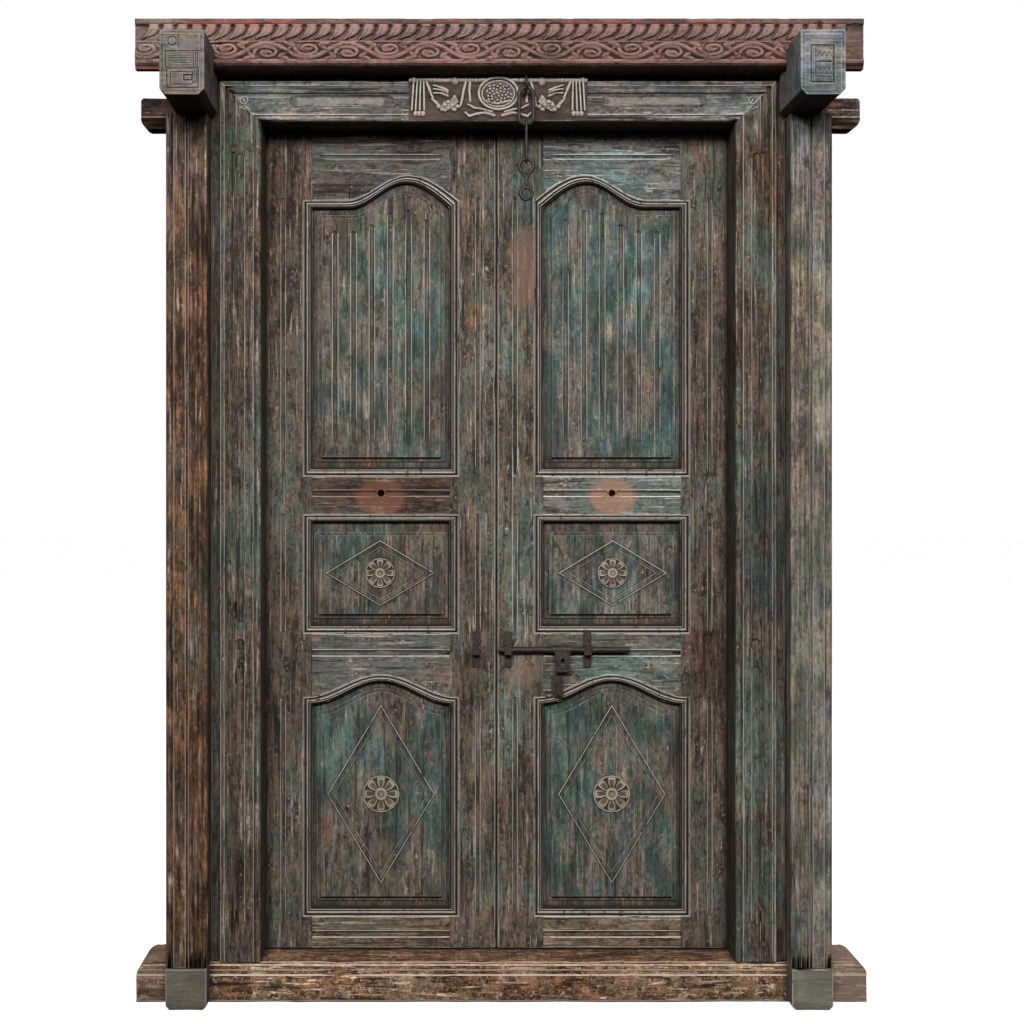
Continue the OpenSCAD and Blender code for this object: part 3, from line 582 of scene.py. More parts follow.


# The leaf moulding: (inset, depth, worn, shade_and_grime) of each band, from a quirk by a round bead to a
# hollow at the panel; the last column darkens quirks and hollows as painted shade
LEAF_MOULDING = (
    (0.1, 3.0, 0, 1), (0.5, 0.4, 0.9, 0), (1.7, 0.3, 0.1, 0.3), (2.6, 0.5, 0, 1), (3.0, 3.6, 0, 1),
    (4.8, 3.2, 0, 0.3),
    (5.8, 1.4, 0.1, 0), (8.6, 0.4, 1, 0), (9.9, 0.5, 0.2, 0), (11.2, 2.4, 0, 1), (11.8, 5.0, 0, 1),
    (13.6, 4.7, 0.8, 0),
    (14.7, 4.9, 0.1, 0.3), (16.8, 7.0, 0, 1), (19.2, 8.2, 0, 1), (20.1, 8.6, 0, 1), (20.1, 14.0, 0, 0),
    (0.1, 14.0, 0, 0))
UPRIGHT_WEAR = 0.45


def leaf_mouldings(material):
    profile = [(inset * MM, LEAF_Y + depth * MM) for inset, depth, worn, shade_and_grime in LEAF_MOULDING]
    worn = [band[2] for band in LEAF_MOULDING]
    shade_and_grime = [band[3] for band in LEAF_MOULDING]
    for side, body in BODIES.items():
        for place, o in OPENINGS.items():
            mesh = mirrored(outline_strip(f"{side}_{place}_moulding", o, profile, worn, shade_and_grime), side)
            finish(f"{side}_{place}_moulding", mesh, body, material, sharp=40)


# ---------- carved reliefs ----------
def relief(name, xs, zs, y, height, back):
    """A carved board: height gives how far each point stands out from the plane y; the back is flat."""
    gx, gz = np.meshgrid(xs, zs)
    top = np.stack([gx, y - height, gz], -1).reshape(-1, 3)
    under = np.stack([gx, np.full_like(gx, back), gz], -1).reshape(-1, 3)
    rows, cols = gx.shape
    n = rows * cols
    k = np.arange(n).reshape(rows, cols)
    quads = np.stack([k[:-1, :-1], k[:-1, 1:], k[1:, 1:], k[1:, :-1]], -1).reshape(-1, 4)
    rim = np.concatenate([k[0, :-1], k[:-1, -1], k[-1, :0:-1], k[:0:-1, 0]])
    nxt = np.roll(rim, -1)
    side = np.stack([rim, rim + n, nxt + n, nxt], -1)
    used = np.unique(rim)
    remap = {int(v): j for j, v in enumerate(used)}
    under = under[used]
    side = [[a, n + remap[int(a)], n + remap[int(d)], d] for a, b, c, d in side.tolist()]
    base = [[n + remap[int(v)] for v in rim.tolist()]]
    points = np.concatenate([top, under])
    return outward(mesh_from(name, points.tolist(), quads.tolist() + side + base)), n


def soft_step(x, low, high):
    s = np.clip((x - low) / (high - low), 0, 1)
    return s * s * (3 - 2 * s)


def value_noise(x, z, scale, seed):
    """Smooth noise on a grid, from 0 to 1, the same each run."""
    rng = np.random.default_rng(seed)
    table = rng.random((257, 257))
    u, w = x * scale, z * scale
    iu, iw = np.floor(u).astype(int), np.floor(w).astype(int)
    fu, fw = u - iu, w - iw
    fu, fw = fu * fu * (3 - 2 * fu), fw * fw * (3 - 2 * fw)
    a, b = table[iu % 257, iw % 257], table[(iu + 1) % 257, iw % 257]
    c, d = table[iu % 257, (iw + 1) % 257], table[(iu + 1) % 257, (iw + 1) % 257]
    return (a * (1 - fu) + b * fu) * (1 - fw) + (c * (1 - fu) + d * fu) * fw


def stroke(height, gx, gz, points, width, tall, edge=1.6 * MM):
    """Adds a rounded band along points to a height field; width may taper as (start, end)."""
    w0, w1 = width if isinstance(width, tuple) else (width, width)
    reach = max(w0, w1) + edge
    for k in range(len(points) - 1):
        (ax, az), (bx, bz) = points[k], points[k + 1]
        half0 = (w0 + (w1 - w0) * k / (len(points) - 1)) / 2
        cols = (gx[0] > min(ax, bx) - reach) & (gx[0] < max(ax, bx) + reach)
        rows = (gz[:, 0] > min(az, bz) - reach) & (gz[:, 0] < max(az, bz) + reach)
        if not cols.any() or not rows.any():
            continue
        c = np.where(cols)[0]
        r = np.where(rows)[0]
        area = (slice(r[0], r[-1] + 1), slice(c[0], c[-1] + 1))
        px, pz = gx[area] - ax, gz[area] - az
        dx, dz = bx - ax, bz - az
        along = np.clip((px * dx + pz * dz) / max(dx * dx + dz * dz, 1e-12), 0, 1)
        away = np.hypot(px - along * dx, pz - along * dz)
        rise = tall * np.sqrt(np.clip(1 - (away / (half0 + edge)) ** 2, 0, 1))
        height[area] = np.maximum(height[area], rise)


def dome(height, gx, gz, centre, rx, rz, tall, base=0.0):
    away = np.hypot((gx - centre[0]) / rx, (gz - centre[1]) / rz)
    rise = base + tall * np.sqrt(np.clip(1 - away ** 2, 0, 1))
    np.copyto(height, np.where(away < 1, np.maximum(height, rise), height))


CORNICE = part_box("cornice")
CORNICE_FRONT = CORNICE[0].y
VINE_PERIOD = 175.5 * MM
VINE_START = -504.7 * MM
LEAF_PERIOD = 31 * MM
CHAMFER = (24 * MM, 9 * MM)


def blurred(field, size):
    """A running mean over a height field, in both directions."""
    for axis in (0, 1):
        pad = [(0, 0), (0, 0)]
        pad[axis] = (size, size)
        sums = np.cumsum(np.pad(field, pad, mode="edge"), axis=axis)
        low = np.take(sums, range(0, field.shape[axis]), axis=axis)
        high = np.take(sums, range(2 * size, field.shape[axis] + 2 * size), axis=axis)
        field = (high - low) / (2 * size)
    return field


def carved(name, xs, zs, y, height, back, full, size=4, ground=None, crest=0.16, deep=0.30):
    """A relief with marks: high points are worn, hollows get painted shade with grime, and raised parts
    stand off the ground."""
    mesh, shown = relief(name, xs, zs, y, height, back)
    away = height - blurred(height, size)
    total = len(mesh.vertices)

    def marks(values):
        flat = np.zeros(total, dtype=np.float32)
        flat[:shown] = np.clip(values, 0, 1).ravel()
        return flat

    mark(mesh, "worn", marks(away / (crest * full)), "POINT")
    # hollows below the local surface are darkened: painted shade
    mark(mesh, "shade_and_grime", marks(-away / (deep * full) - 0.12), "POINT")
    if ground is not None:
        mark(mesh, "raised", marks((height - ground) / (0.25 * full)), "POINT")
    return mesh


def cornice_height(gx, gz):
    """The cornice's face without its leaves: lower fillet, running vine, the leaves' hollow and the top
    fillet."""
    z = gz - CORNICE[0].z
    tall = CORNICE[1].z - CORNICE[0].z
    vine0, vine1, leaf1 = 19 * MM, 60 * MM, tall - 12 * MM
    mid = (vine0 + vine1) / 2 + CORNICE[0].z
    swing = 15.5 * MM
    xs = np.arange(gx.min(), gx.max(), 4 * MM)
    stem = [(x, mid + swing * math.cos(2 * math.pi * (x - VINE_START) / VINE_PERIOD)) for x in xs]
    raised = np.zeros_like(gx)
    stroke(raised, gx, gz, stem, 8.5 * MM, 7 * MM)
    waves = int((gx.max() - gx.min()) / VINE_PERIOD * 2) + 3
    first = math.floor((gx.min() - VINE_START) / (VINE_PERIOD / 2)) - 1
    for k in range(first, first + waves):
        cx = VINE_START + k * VINE_PERIOD / 2
        flip = 1 if k % 2 == 0 else -1
        centre = (cx + 1 * MM, mid - flip * 3.5 * MM)
        curl = []
        for s in np.linspace(0, 1, 30):
            radius = (15.5 - 9.5 * s) * MM
            angle = math.pi * (1.0 - 2.2 * s)
            curl.append((centre[0] + radius * 1.75 * math.cos(angle),
                         centre[1] + flip * radius * 0.92 * math.sin(angle)))
        stroke(raised, gx, gz, curl, (7.5 * MM, 4.5 * MM), 6.4 * MM)
        leaf = [(centre[0] + (s * 19 - 9) * MM, centre[1] + flip * (3 * math.sin(s * 3) - 2) * MM)
                for s in np.linspace(0, 1, 9)]
        stroke(raised, gx, gz, leaf, (13 * MM, 4 * MM), 5.8 * MM)
        for lx, lz, ex, ez in ((-30, -12, -46, -17), (-30, -12, -40, -3), (30, -12, 46, -17),
                               (30, -12, 41, -4)):
            blade = [(cx + (lx + (ex - lx) * s) * MM,
                      mid + flip * (lz + (ez - lz) * s) * MM) for s in np.linspace(0, 1, 7)]
            stroke(raised, gx, gz, blade, (10 * MM, 4 * MM), 5.6 * MM)
    raised *= np.where(gx > 726 * MM, 0.35, 1.0)
    height = np.full_like(gx, -7.5 * MM)
    band = (z > vine0) & (z < vine1)
    height = np.where(band, -7.5 * MM + raised, height)
    height = np.where(abs(z - vine1) < 1.4 * MM, -4.0 * MM, height)
    # fillets, with a thin bead over the lower one
    height = np.where(abs(z - vine0 - 1.2 * MM) < 1.5 * MM, -2.0 * MM, height)
    height = np.where((z > 2.5 * MM) & (z <= vine0), -1.2 * MM - 3.0 * MM * (abs(z - 10 * MM) < 1.0 * MM),
                      height)
    height = np.where(z < CHAMFER[1], -1.2 * MM - CHAMFER[0] * (1 - z / CHAMFER[1]), height)
    height = np.where(z >= leaf1, -0.8 * MM - 1.8 * MM * (abs(z - leaf1 - 2 * MM) < 0.9 * MM), height)
    # wear: rounded hollows, worn high points, chips and a crack along the grain at the left end
    worn = value_noise(gx, gz * 3, 40.0, 5) * 1.6 * MM + value_noise(gx, gz * 2, 160.0, 8) * 1.1 * MM
    height = height - worn
    chips = soft_step(value_noise(gx, gz * 2.0, 26.0, 11), 0.80, 0.92)
    height -= chips * 3.5 * MM * (z > leaf1)
    crack = abs(gz - (CORNICE[0].z + 54 * MM + 2 * MM * np.sin(gx * 30)))
    height -= 9 * MM * soft_step(crack, 1.8 * MM, 0.5 * MM) * soft_step(gx, -560 * MM, -640 * MM)
    return np.minimum(height, -0.05 * MM)


def make_cornice(material):
    """The beam with its carved face, its ears cut back to boards past the posts."""
    low, high = CORNICE
    ear = CORNICE_FRONT + 30 * MM
    body = 1.0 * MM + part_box("post_right")[1].x
    for name, x0, x1, back in (("left_ear", low.x, -body, ear), ("beam", -body, body, high.y),
                               ("right_ear", body, high.x, ear)):
        xs = np.linspace(x0, x1, max(3, round((x1 - x0) / (1.5 * MM))))
        zs = np.linspace(low.z, high.z, 74)
        gx, gz = np.meshgrid(xs, zs)
        height = cornice_height(gx, gz)
        if name != "beam":
            height = np.where(abs(gz - (low.z + high.z) / 2) < 60 * MM, np.maximum(height, -7.5 * MM), height)
        mesh = carved("cornice_" + name, xs, zs, CORNICE_FRONT, height, back, 9 * MM, 3, crest=0.30,
                      deep=0.14)
        finish("cornice_" + name, mesh, "frame", material, ["cornice"], sharp=70)


def grid_mesh(name, across, along, place):
    """A closed cushion over a grid: place(s, w) gives a point and its mark, worn when positive and painted
    shade when negative; the rim is drawn back to a flat base."""
    points, worn, faces = [], [], []
    for a in range(along + 1):
        for c in range(across + 1):
            point, value = place(a / along, 2 * c / across - 1)
            points.append(point)
            worn.append(value)
    step = across + 1
    for a in range(along):
        for c in range(across):
            faces.append((a * step + c, a * step + c + 1, (a + 1) * step + c + 1, (a + 1) * step + c))
    rim = [c for c in range(step)] + [a * step + across for a in range(1, along + 1)]
    rim += [along * step + c for c in range(across - 1, -1, -1)] + [a * step for a in range(along - 1, 0, -1)]
    base = len(points)
    for k in rim:
        x, y, z = points[k]
        points.append((x, place.base, z))
        worn.append(0)
    for k in range(len(rim)):
        n = (k + 1) % len(rim)
        faces.append((rim[k], rim[n], base + n, base + k))
    faces.append(tuple(base + k for k in range(len(rim))))
    mesh = mesh_from(name, points, faces)
    mark(mesh, "worn", [max(0, v) for v in worn], "POINT")
    # negative marks darken hollows and veins: painted shade
    mark(mesh, "shade_and_grime", [max(0, -v) for v in worn], "POINT")
    return outward(mesh)


def hooked_leaf():
    """One leaf of the cornice's upper band: it hangs from the fillet and hooks over to the left."""
    tall = 32 * MM

    def place(s, w):
        half = LEAF_PERIOD / 2 * (1.0 - 0.10 * s) * (1 - max(0, (s - 0.72) / 0.28) ** 2.2 * 0.85)
        half *= 1 - 0.24 * max(0, 1 - abs(s - 0.13) / 0.13)
        x = -0.75 * LEAF_PERIOD * s ** 2.6 + w * half
        z = -s * tall + 2.5 * MM * w * s
        bulge = (1 - abs(w) ** 3.0) ** 0.75 * (1 - 0.25 * s)
        vein = math.exp(-((w + 0.15) / 0.10) ** 2) * min(1, 3 * s) * 0.22
        y = -6.6 * MM * max(0, bulge - vein)
        return (x, y, z), bulge * 1.6 - 0.9 - 2.0 * vein

    place.base = 1.0 * MM
    return grid_mesh("hooked_leaf", 14, 20, place)


def petal(long, wide, tall, blunt):
    """A petal that points along +X, with a raised rim round a hollow."""

    def place(s, w):
        swell = 0.35 + 0.65 * math.sin(math.pi * min(0.52, s * blunt))
        half = wide * swell * (1 - max(0, (s - 0.85) / 0.15) ** 2 * 0.6)
        edge = max(abs(w), 2 * s - 1)
        rim = math.exp(-((edge - 0.74) / 0.20) ** 2)
        fall = math.sin(math.pi * (0.12 + 0.8 * s)) ** 0.6 * (1 - max(abs(w), 0.8) ** 8)
        return (s * long, -tall * (0.35 + 0.65 * rim) * fall, w * half), rim * 1.7 - 0.75

    place.base = 1.0 * MM
    return grid_mesh("petal", 10, 10, place)


# ---------- repeated pieces ----------
def geometry_tree(name, inputs):
    tree = bpy.data.node_groups.new(name, "GeometryNodeTree")
    tree.interface.new_socket("Geometry", in_out="INPUT", socket_type="NodeSocketGeometry")
    for label, kind in inputs:
        tree.interface.new_socket(label, in_out="INPUT", socket_type=f"NodeSocket{kind}")
    tree.interface.new_socket("Geometry", in_out="OUTPUT", socket_type="NodeSocketGeometry")
    t = Tree(tree)
    return tree, t, t.node("NodeGroupInput").outputs, t.node("NodeGroupOutput").inputs


def row_tree():
    """Copies of a shape at even steps along X from a start, each a little different in turn and size."""
    tree, t, i, o = geometry_tree("row", [("Shape", "Object"), ("Count", "Int"), ("Start", "Vector"),
                                          ("Step", "Vector"),
                                          ("Jitter", "Float"), ("Seed", "Int"), ("Material", "Material")])
    line = t.node("GeometryNodeMeshLine", {"Count": i["Count"], "Start Location": i["Start"],
                                           "Offset": i["Step"]})
    shape = t.node("GeometryNodeObjectInfo", {"Object": i["Shape"]}, transform_space="ORIGINAL")
    turn = t.node("FunctionNodeRandomValue", {"Seed": i["Seed"]}, data_type="FLOAT")
    t.put(turn.inputs[2], t.math("MULTIPLY", i["Jitter"], -1.0))
    t.put(turn.inputs[3], i["Jitter"])
    rotation = t.node("ShaderNodeCombineXYZ", {1: turn.outputs[1]}).outputs[0]
    grow = t.node("FunctionNodeRandomValue", {"Seed": i["Seed"]}, data_type="FLOAT")
    t.put(grow.inputs[2], t.math("SUBTRACT", 1.0, i["Jitter"]))
    t.put(grow.inputs[3], 1.0)
    size = t.node("ShaderNodeCombineXYZ", {0: 1.0, 1: grow.outputs[1], 2: 1.0}).outputs[0]
    copies = t.node("GeometryNodeInstanceOnPoints", {"Points": line.outputs["Mesh"],
                                                     "Instance": shape.outputs["Geometry"],
                                                     "Rotation": rotation, "Scale": size})
    solid = t.node("GeometryNodeRealizeInstances", {"Geometry": copies.outputs[0]})
    painted = t.node("GeometryNodeSetMaterial", {"Geometry": solid.outputs[0], "Material": i["Material"]})
    t.put(o["Geometry"], painted.outputs[0])
    return tree


def ring_tree():
    """Copies of a shape round a centre in the plane of the face, each turned to point outwards."""
    tree, t, i, o = geometry_tree("ring", [("Shape", "Object"), ("Count", "Int"), ("Centre", "Vector"),
                                           ("Radius", "Float"),
                                           ("Squash", "Float"), ("First", "Float"), ("Material", "Material")])
    points = t.node("GeometryNodePoints", {"Count": i["Count"]})
    index = t.node("GeometryNodeInputIndex").outputs[0]
    turn = t.math("DIVIDE", t.math("MULTIPLY", t.math("ADD", index, i["First"]), 2 * math.pi), i["Count"])
    x = t.math("MULTIPLY", t.math("COSINE", turn), i["Radius"])
    z = t.math("MULTIPLY", t.math("MULTIPLY", t.math("SINE", turn), i["Radius"]), i["Squash"])
    offset = t.node("ShaderNodeCombineXYZ", {0: x, 2: z}).outputs[0]
    place = t.node("ShaderNodeVectorMath", {0: offset, 1: i["Centre"]}, operation="ADD").outputs[0]
    placed = t.node("GeometryNodeSetPosition", {"Geometry": points.outputs[0], "Position": place})
    shape = t.node("GeometryNodeObjectInfo", {"Object": i["Shape"]}, transform_space="ORIGINAL")
    rotation = t.node("ShaderNodeCombineXYZ", {1: t.math("MULTIPLY", turn, -1.0)}).outputs[0]
    copies = t.node("GeometryNodeInstanceOnPoints", {"Points": placed.outputs[0],
                                                     "Instance": shape.outputs["Geometry"],
                                                     "Rotation": rotation})
    solid = t.node("GeometryNodeRealizeInstances", {"Geometry": copies.outputs[0]})
    painted = t.node("GeometryNodeSetMaterial", {"Geometry": solid.outputs[0], "Material": i["Material"]})
    t.put(o["Geometry"], painted.outputs[0])
    return tree


ROW = row_tree()
RING = ring_tree()


def repeated(name, tree, shape, **values):
    """The mesh that a tree makes of a shape; the shape's mesh is used up."""
    part = bpy.data.objects.new("shape", shape)
    carrier = bpy.data.objects.new("carrier", bpy.data.meshes.new("carrier"))
    for each in (part, carrier):
        bpy.context.scene.collection.objects.link(each)
    modifier = carrier.modifiers.new("repeat", "NODES")
    modifier.node_group = tree
    values["Shape"] = part
    for item in tree.interface.items_tree:
        if item.in_out == "INPUT" and item.name in values:
            modifier[item.identifier] = values[item.name]
    carrier.update_tag()
    view = bpy.context.evaluated_depsgraph_get()
    view.update()
    mesh = bpy.data.meshes.new_from_object(carrier.evaluated_get(view))
    mesh.name = name
    for each in (carrier, part):
        bpy.data.objects.remove(each)
    bpy.data.meshes.remove(shape)
    return mesh


def make_cornice_leaves(material):
    low, high = CORNICE
    count = int((high.x - low.x - 24 * MM) / LEAF_PERIOD)
    start = ((low.x + high.x) / 2 - (count - 1) / 2 * LEAF_PERIOD + 12 * MM, CORNICE_FRONT + 7.4 * MM,
             high.z - 12.0 * MM)
    mesh = repeated("cornice_leaves", ROW, hooked_leaf(), Count=count - 1, Start=start,
                    Step=(LEAF_PERIOD, 0, 0), Jitter=0.07, Seed=4, Material=material)
    finish("cornice_leaves", mesh, "frame", material, ["cornice"], sharp=60)


def make_garland(material):
    """The lintel's garland: a rod with knobs, swags, ribbons, drops and an oval medallion with a flower."""
    low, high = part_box("lintel_garland")
    z0, z1 = LINTEL_Z + 5 * MM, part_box("lintel")[1].z - 1 * MM
    xs = np.arange(low.x, high.x, 1.0 * MM)
    zs = np.linspace(z0, z1, 96)
    gx, gz = np.meshgrid(xs, zs)
    h = np.zeros_like(gx)
    rod_z = high.z - 5 * MM
    stroke(h, gx, gz, [(low.x + 4 * MM, rod_z), (high.x - 4 * MM, rod_z)], 7 * MM, 7 * MM)
    for x, size in ((0, 11), (-96, 9), (96, 9), (-186, 6), (186, 6), (-50, 4), (50, 4), (-140, 4), (140, 4)):
        dome(h, gx, gz, (x * MM, rod_z - (2 if size > 7 else 0) * MM), size * MM, (size * 0.8 + 3) * MM,
             9 * MM)
    cz = LINTEL_Z + 62 * MM

    def band(side, points, width, tall=7.5):
        stroke(h, gx, gz, [(side * x * MM, LINTEL_Z + z * MM) for x, z in points],
               tuple(w * MM for w in width), tall * MM, 1.0 * MM)

    for side in (-1, 1):
        # fluted drops at the ends
        for x0, x1 in ((178, 182), (171, 173), (164, 163), (186, 190)):
            band(side, [(x0, 90), (x1, 26)], (3.5, 6))
        band(side, [(160, 92), (150, 66), (144, 52)], (6, 3))
        for x in (166, 174, 182):
            dome(h, gx, gz, (side * x * MM, LINTEL_Z + 18 * MM), 6 * MM, 7 * MM, 8 * MM)
        # ribbons that hang from the rod, in pairs
        band(side, [(70, 93), (76, 70), (82, 40), (84, 34)], (6, 3.5))
        band(side, [(62, 93), (64, 70), (62, 44)], (6, 3.5))
        # leaves and the cloth between the ribbons
        for z, lean in ((80, 5), (72, 2), (63, 0)):
            band(side, [(142, z), (126, z - lean), (112, z - lean - 6)], (3, 7))
        for fold in range(4):
            folds = [(146 - fold * 3, 50 - fold * 2), (132 - fold * 2, 34 - fold), (118, 24 + fold * 6),
                     (102 + fold, 32 + fold * 4), (90 + fold * 2, 44 + fold * 4)]
            band(side, folds, (3.5, 5), 7.5 - fold * 0.7)
        for x, z in ((110, 30), (118, 36), (102, 36), (110, 43), (123, 27), (97, 27), (131, 33), (90, 33)):
            dome(h, gx, gz, (side * x * MM, LINTEL_Z + z * MM), 6.5 * MM, 5.5 * MM, 9 * MM)
        dome(h, gx, gz, (side * 110 * MM, LINTEL_Z + 35 * MM), 3 * MM, 3 * MM, 9.4 * MM)
        # the bow under the medallion
        band(side, [(10, 14), (30, 20), (48, 17), (64, 12), (72, 20)], (7, 3))
        band(side, [(14, 22), (34, 27), (52, 30), (66, 38)], (5, 3))
    # medallion
    inside = np.hypot(gx / (46 * MM), (gz - cz) / (38 * MM))
    h = np.where(inside < 1, 2.0 * MM, h)
    for rx, rz, width, tall in ((43, 35, 4.5, 9), (36, 28.5, 2, 5)):
        ring = [(rx * MM * math.cos(a), cz + rz * MM * math.sin(a)) for a in np.linspace(0, 2 * math.pi, 61)]
        stroke(h, gx, gz, ring, width * MM, tall * MM)
    for k in range(38):
        a = 2.4 * k
        d = 4.2 * math.sqrt(k)
        dome(h, gx, gz, (d * 1.12 * MM * math.cos(a), cz + d * 0.88 * MM * math.sin(a)), 3.1 * MM, 2.9 * MM,
             5.5 * MM, 1.5 * MM)
    band(1, [(-26, 46), (-10, 40), (8, 42), (26, 47)], (3, 3), 6)
    rough = value_noise(gx, gz, 150.0, 3) * 1.2 * MM + value_noise(gx, gz, 330.0, 4) * 0.7 * MM
    h = np.clip(h - rough * (h > 1 * MM), 0.2 * MM, 9.6 * MM)
    mesh = carved("carved_garland", xs, zs, FRONT, h, FRONT + 6 * MM, 9 * MM, 3, 0.5 * MM)
    finish("carved_garland", mesh, "frame", material, ["lintel_garland"], sharp=70)


def make_bracket_carving(side, material):
    """The plate carved into a bracket's front: framed fields with hatching, and a nested square."""
    low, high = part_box("bracket_" + side)
    edge = 7 * MM
    xs = np.arange(low.x + edge, high.x - edge, 0.8 * MM)
    zs = np.arange(low.z + edge, high.z - edge, 0.8 * MM)
    gx, gz = np.meshgrid(xs, zs)
    h = np.zeros_like(gx)

    def groove(x0, z0, x1, z1, wide=1.6, deep=1.6):
        cut = np.zeros_like(gx)
        stroke(cut, gx, gz, [(low.x + x0 * MM, low.z + z0 * MM), (low.x + x1 * MM, low.z + z1 * MM)],
               wide * MM, deep * MM, 0.5 * MM)
        np.copyto(h, np.minimum(h, -cut))

    def frame_line(x0, z0, x1, z1, wide=1.6, deep=1.6):
        groove(x0, z0, x1, z0, wide, deep)
        groove(x1, z0, x1, z1, wide, deep)
        groove(x1, z1, x0, z1, wide, deep)
        groove(x0, z1, x0, z0, wide, deep)

    if side == "left":
        frame_line(14, 57, 85, 91)
        frame_line(17, 15, 82, 54)
        frame_line(24, 22, 70, 48, 1.0, 1.2)
        frame_line(52, 31, 69, 41, 2.2, 2.4)
        for x in range(72, 84, 4):
            groove(x, 60, x, 88, 1.0)
            groove(x - 1, 24, x - 1, 50, 1.0)
        for z in range(61, 90, 5):
            groove(20, z, 70, z + 1, 0.8, 0.9)
        frame_line(40, 98, 42, 128, 1.2, 1.2)
        for k in range(14):
            a0, a1 = k * math.pi / 7, (k + 1) * math.pi / 7
            groove(28 + 9 * math.cos(a0), 112 + 9 * math.sin(a0), 28 + 9 * math.cos(a1),
                   112 + 9 * math.sin(a1), 1.4, 1.5)
    else:
        frame_line(22, 27, 69, 103, 2.4, 2.4)
        frame_line(31, 38, 66, 99, 1.2, 1.4)
        groove(31, 69, 68, 69, 2.0, 2.2)
        groove(31, 72, 68, 72, 0.8, 1.0)
        for k in range(6):
            groove(34 + 5 * k, 44 + 10 * (k % 2), 39 + 5 * k, 54 - 10 * (k % 2), 1.2, 1.3)
            groove(34 + 5 * k, 80 + 10 * (k % 2), 39 + 5 * k, 90 - 10 * (k % 2), 1.2, 1.3)
        for x in (26, 34, 38):
            groove(x, 30, x, 100, 0.8, 1.0)
    h -= 0.9 * MM * value_noise(gx, gz, 90.0, 21 if side == "left"
                                else 22) + 0.5 * MM * value_noise(gx, gz, 260.0, 23)
    rim = np.minimum(np.minimum(gx - gx.min(), gx.max() - gx), np.minimum(gz - gz.min(), gz.max() - gz))
    h -= 2.4 * MM * soft_step(rim, 2.5 * MM, 0)
    mesh = carved("bracket_carving_" + side, xs, zs, low.y + 0.2 * MM, h, low.y + 12 * MM, 4 * MM, 4,
                  crest=0.7, deep=0.2)
    finish("bracket_carving_" + side, mesh, "frame", material, sharp=60)


def make_corner_discs(material):
    """The small carved discs in the lintel's corners, each with a curl."""
    meshes = []
    for side in (-1, 1):
        cx, cz = side * 559 * MM, LINTEL_Z + 48 * MM
        xs = np.arange(cx - 13 * MM, cx + 13 * MM, 0.6 * MM)
        zs = np.arange(cz - 25 * MM, cz + 13 * MM, 0.6 * MM)
        gx, gz = np.meshgrid(xs, zs)
        h = np.full_like(gx, -2.0 * MM)
        up = np.zeros_like(gx)
        ring = [(cx + 8.2 * MM * math.cos(a), cz + 8.2 * MM * math.sin(a))
                for a in np.linspace(0, 2 * math.pi, 33)]
        stroke(up, gx, gz, ring, 1.6 * MM, 4.4 * MM, 0.6 * MM)
        curl = [(cx + side * (5.5 - 11 * t) * MM, cz + (4.5 - 9 * t + 2.5 * math.sin(2 * math.pi * t)) * MM)
                for t in np.linspace(0, 1, 15)]
        stroke(up, gx, gz, curl, 2.2 * MM, 4.4 * MM, 0.6 * MM)
        wave = [(cx + (t * 20 - 10) * MM, cz + (-17 + 2.6 * math.sin(9 * t)) * MM)
                for t in np.linspace(0, 1, 21)]
        stroke(up, gx, gz, wave, 1.4 * MM, 3.6 * MM, 0.6 * MM)
        meshes.append(carved("disc", xs, zs, FRONT, h + up, FRONT + 6 * MM, 4 * MM, 3))
    finish("corner_discs", joined("corner_discs", meshes), "frame", material, sharp=60)


def make_rosette(name, node, material):
    """A carved rosette: a sunk disc, a ring of petals, and a boss."""
    low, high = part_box(node)
    radius = (high.x - low.x) / 2
    centre = ((low.x + high.x) / 2, FIELD_Y, (low.z + high.z) / 2)
    body = frame["nodes"][node]["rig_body"]
    disc_points, faces, marks_ = [], [], []
    spokes = 64
    # (inset, depth, worn) of each ring; a negative worn darkens the ring as painted shade
    for inset, depth, worn in ((0.0, 1.0, 0), (0.0, -2.2, 0), (0.01, -4.4, 0.7), (0.05, -4.6, 0.7),
                               (0.09, -3.0, -1), (0.18, -2.6, -1), (0.60, -2.6, -1), (0.66, -6.0, 0.5),
                               (0.72, -6.4, 1), (0.78, -5.2, -0.4), (0.86, -4.6, -0.5), (0.92, -5.4, 0.3)):
        for k in range(spokes):
            a = 2 * math.pi * k / spokes
            r = radius * (0.97 - inset) * (1 + (0.03 * abs(math.cos(8 * a)) if inset < 0.1 else 0))
            disc_points.append((centre[0] + r * math.cos(a), centre[1] + depth * MM,
                                centre[2] + r * math.sin(a)))
            marks_.append(worn)
    rings = len(disc_points) // spokes
    for r in range(rings - 1):
        for k in range(spokes):
            n = (k + 1) % spokes
            faces.append((r * spokes + k, r * spokes + n, (r + 1) * spokes + n, (r + 1) * spokes + k))
    faces.append(tuple(range(spokes)))
    faces.append(tuple(range((rings - 1) * spokes, rings * spokes)))
    disc = mesh_from("disc", disc_points, faces)
    mark(disc, "worn", [max(0, m) for m in marks_], "POINT")
    mark(disc, "shade_and_grime", [max(0, -m) for m in marks_], "POINT")
    meshes = [outward(disc)]
    for count, start, long, wide, tall, first in ((8, 0.30, 0.62, 0.235, 5.8, 0.0),):
        at = (centre[0], centre[1] - 2.2 * MM, centre[2])
        meshes.append(repeated("petals", RING, petal(long * radius, wide * radius, tall * MM, 0.8),
                               Count=count, Centre=at,
                               Radius=start * radius, Squash=1.0, First=first, Material=material))
    finish(name, joined(name, meshes), body, material, [node], sharp=50)


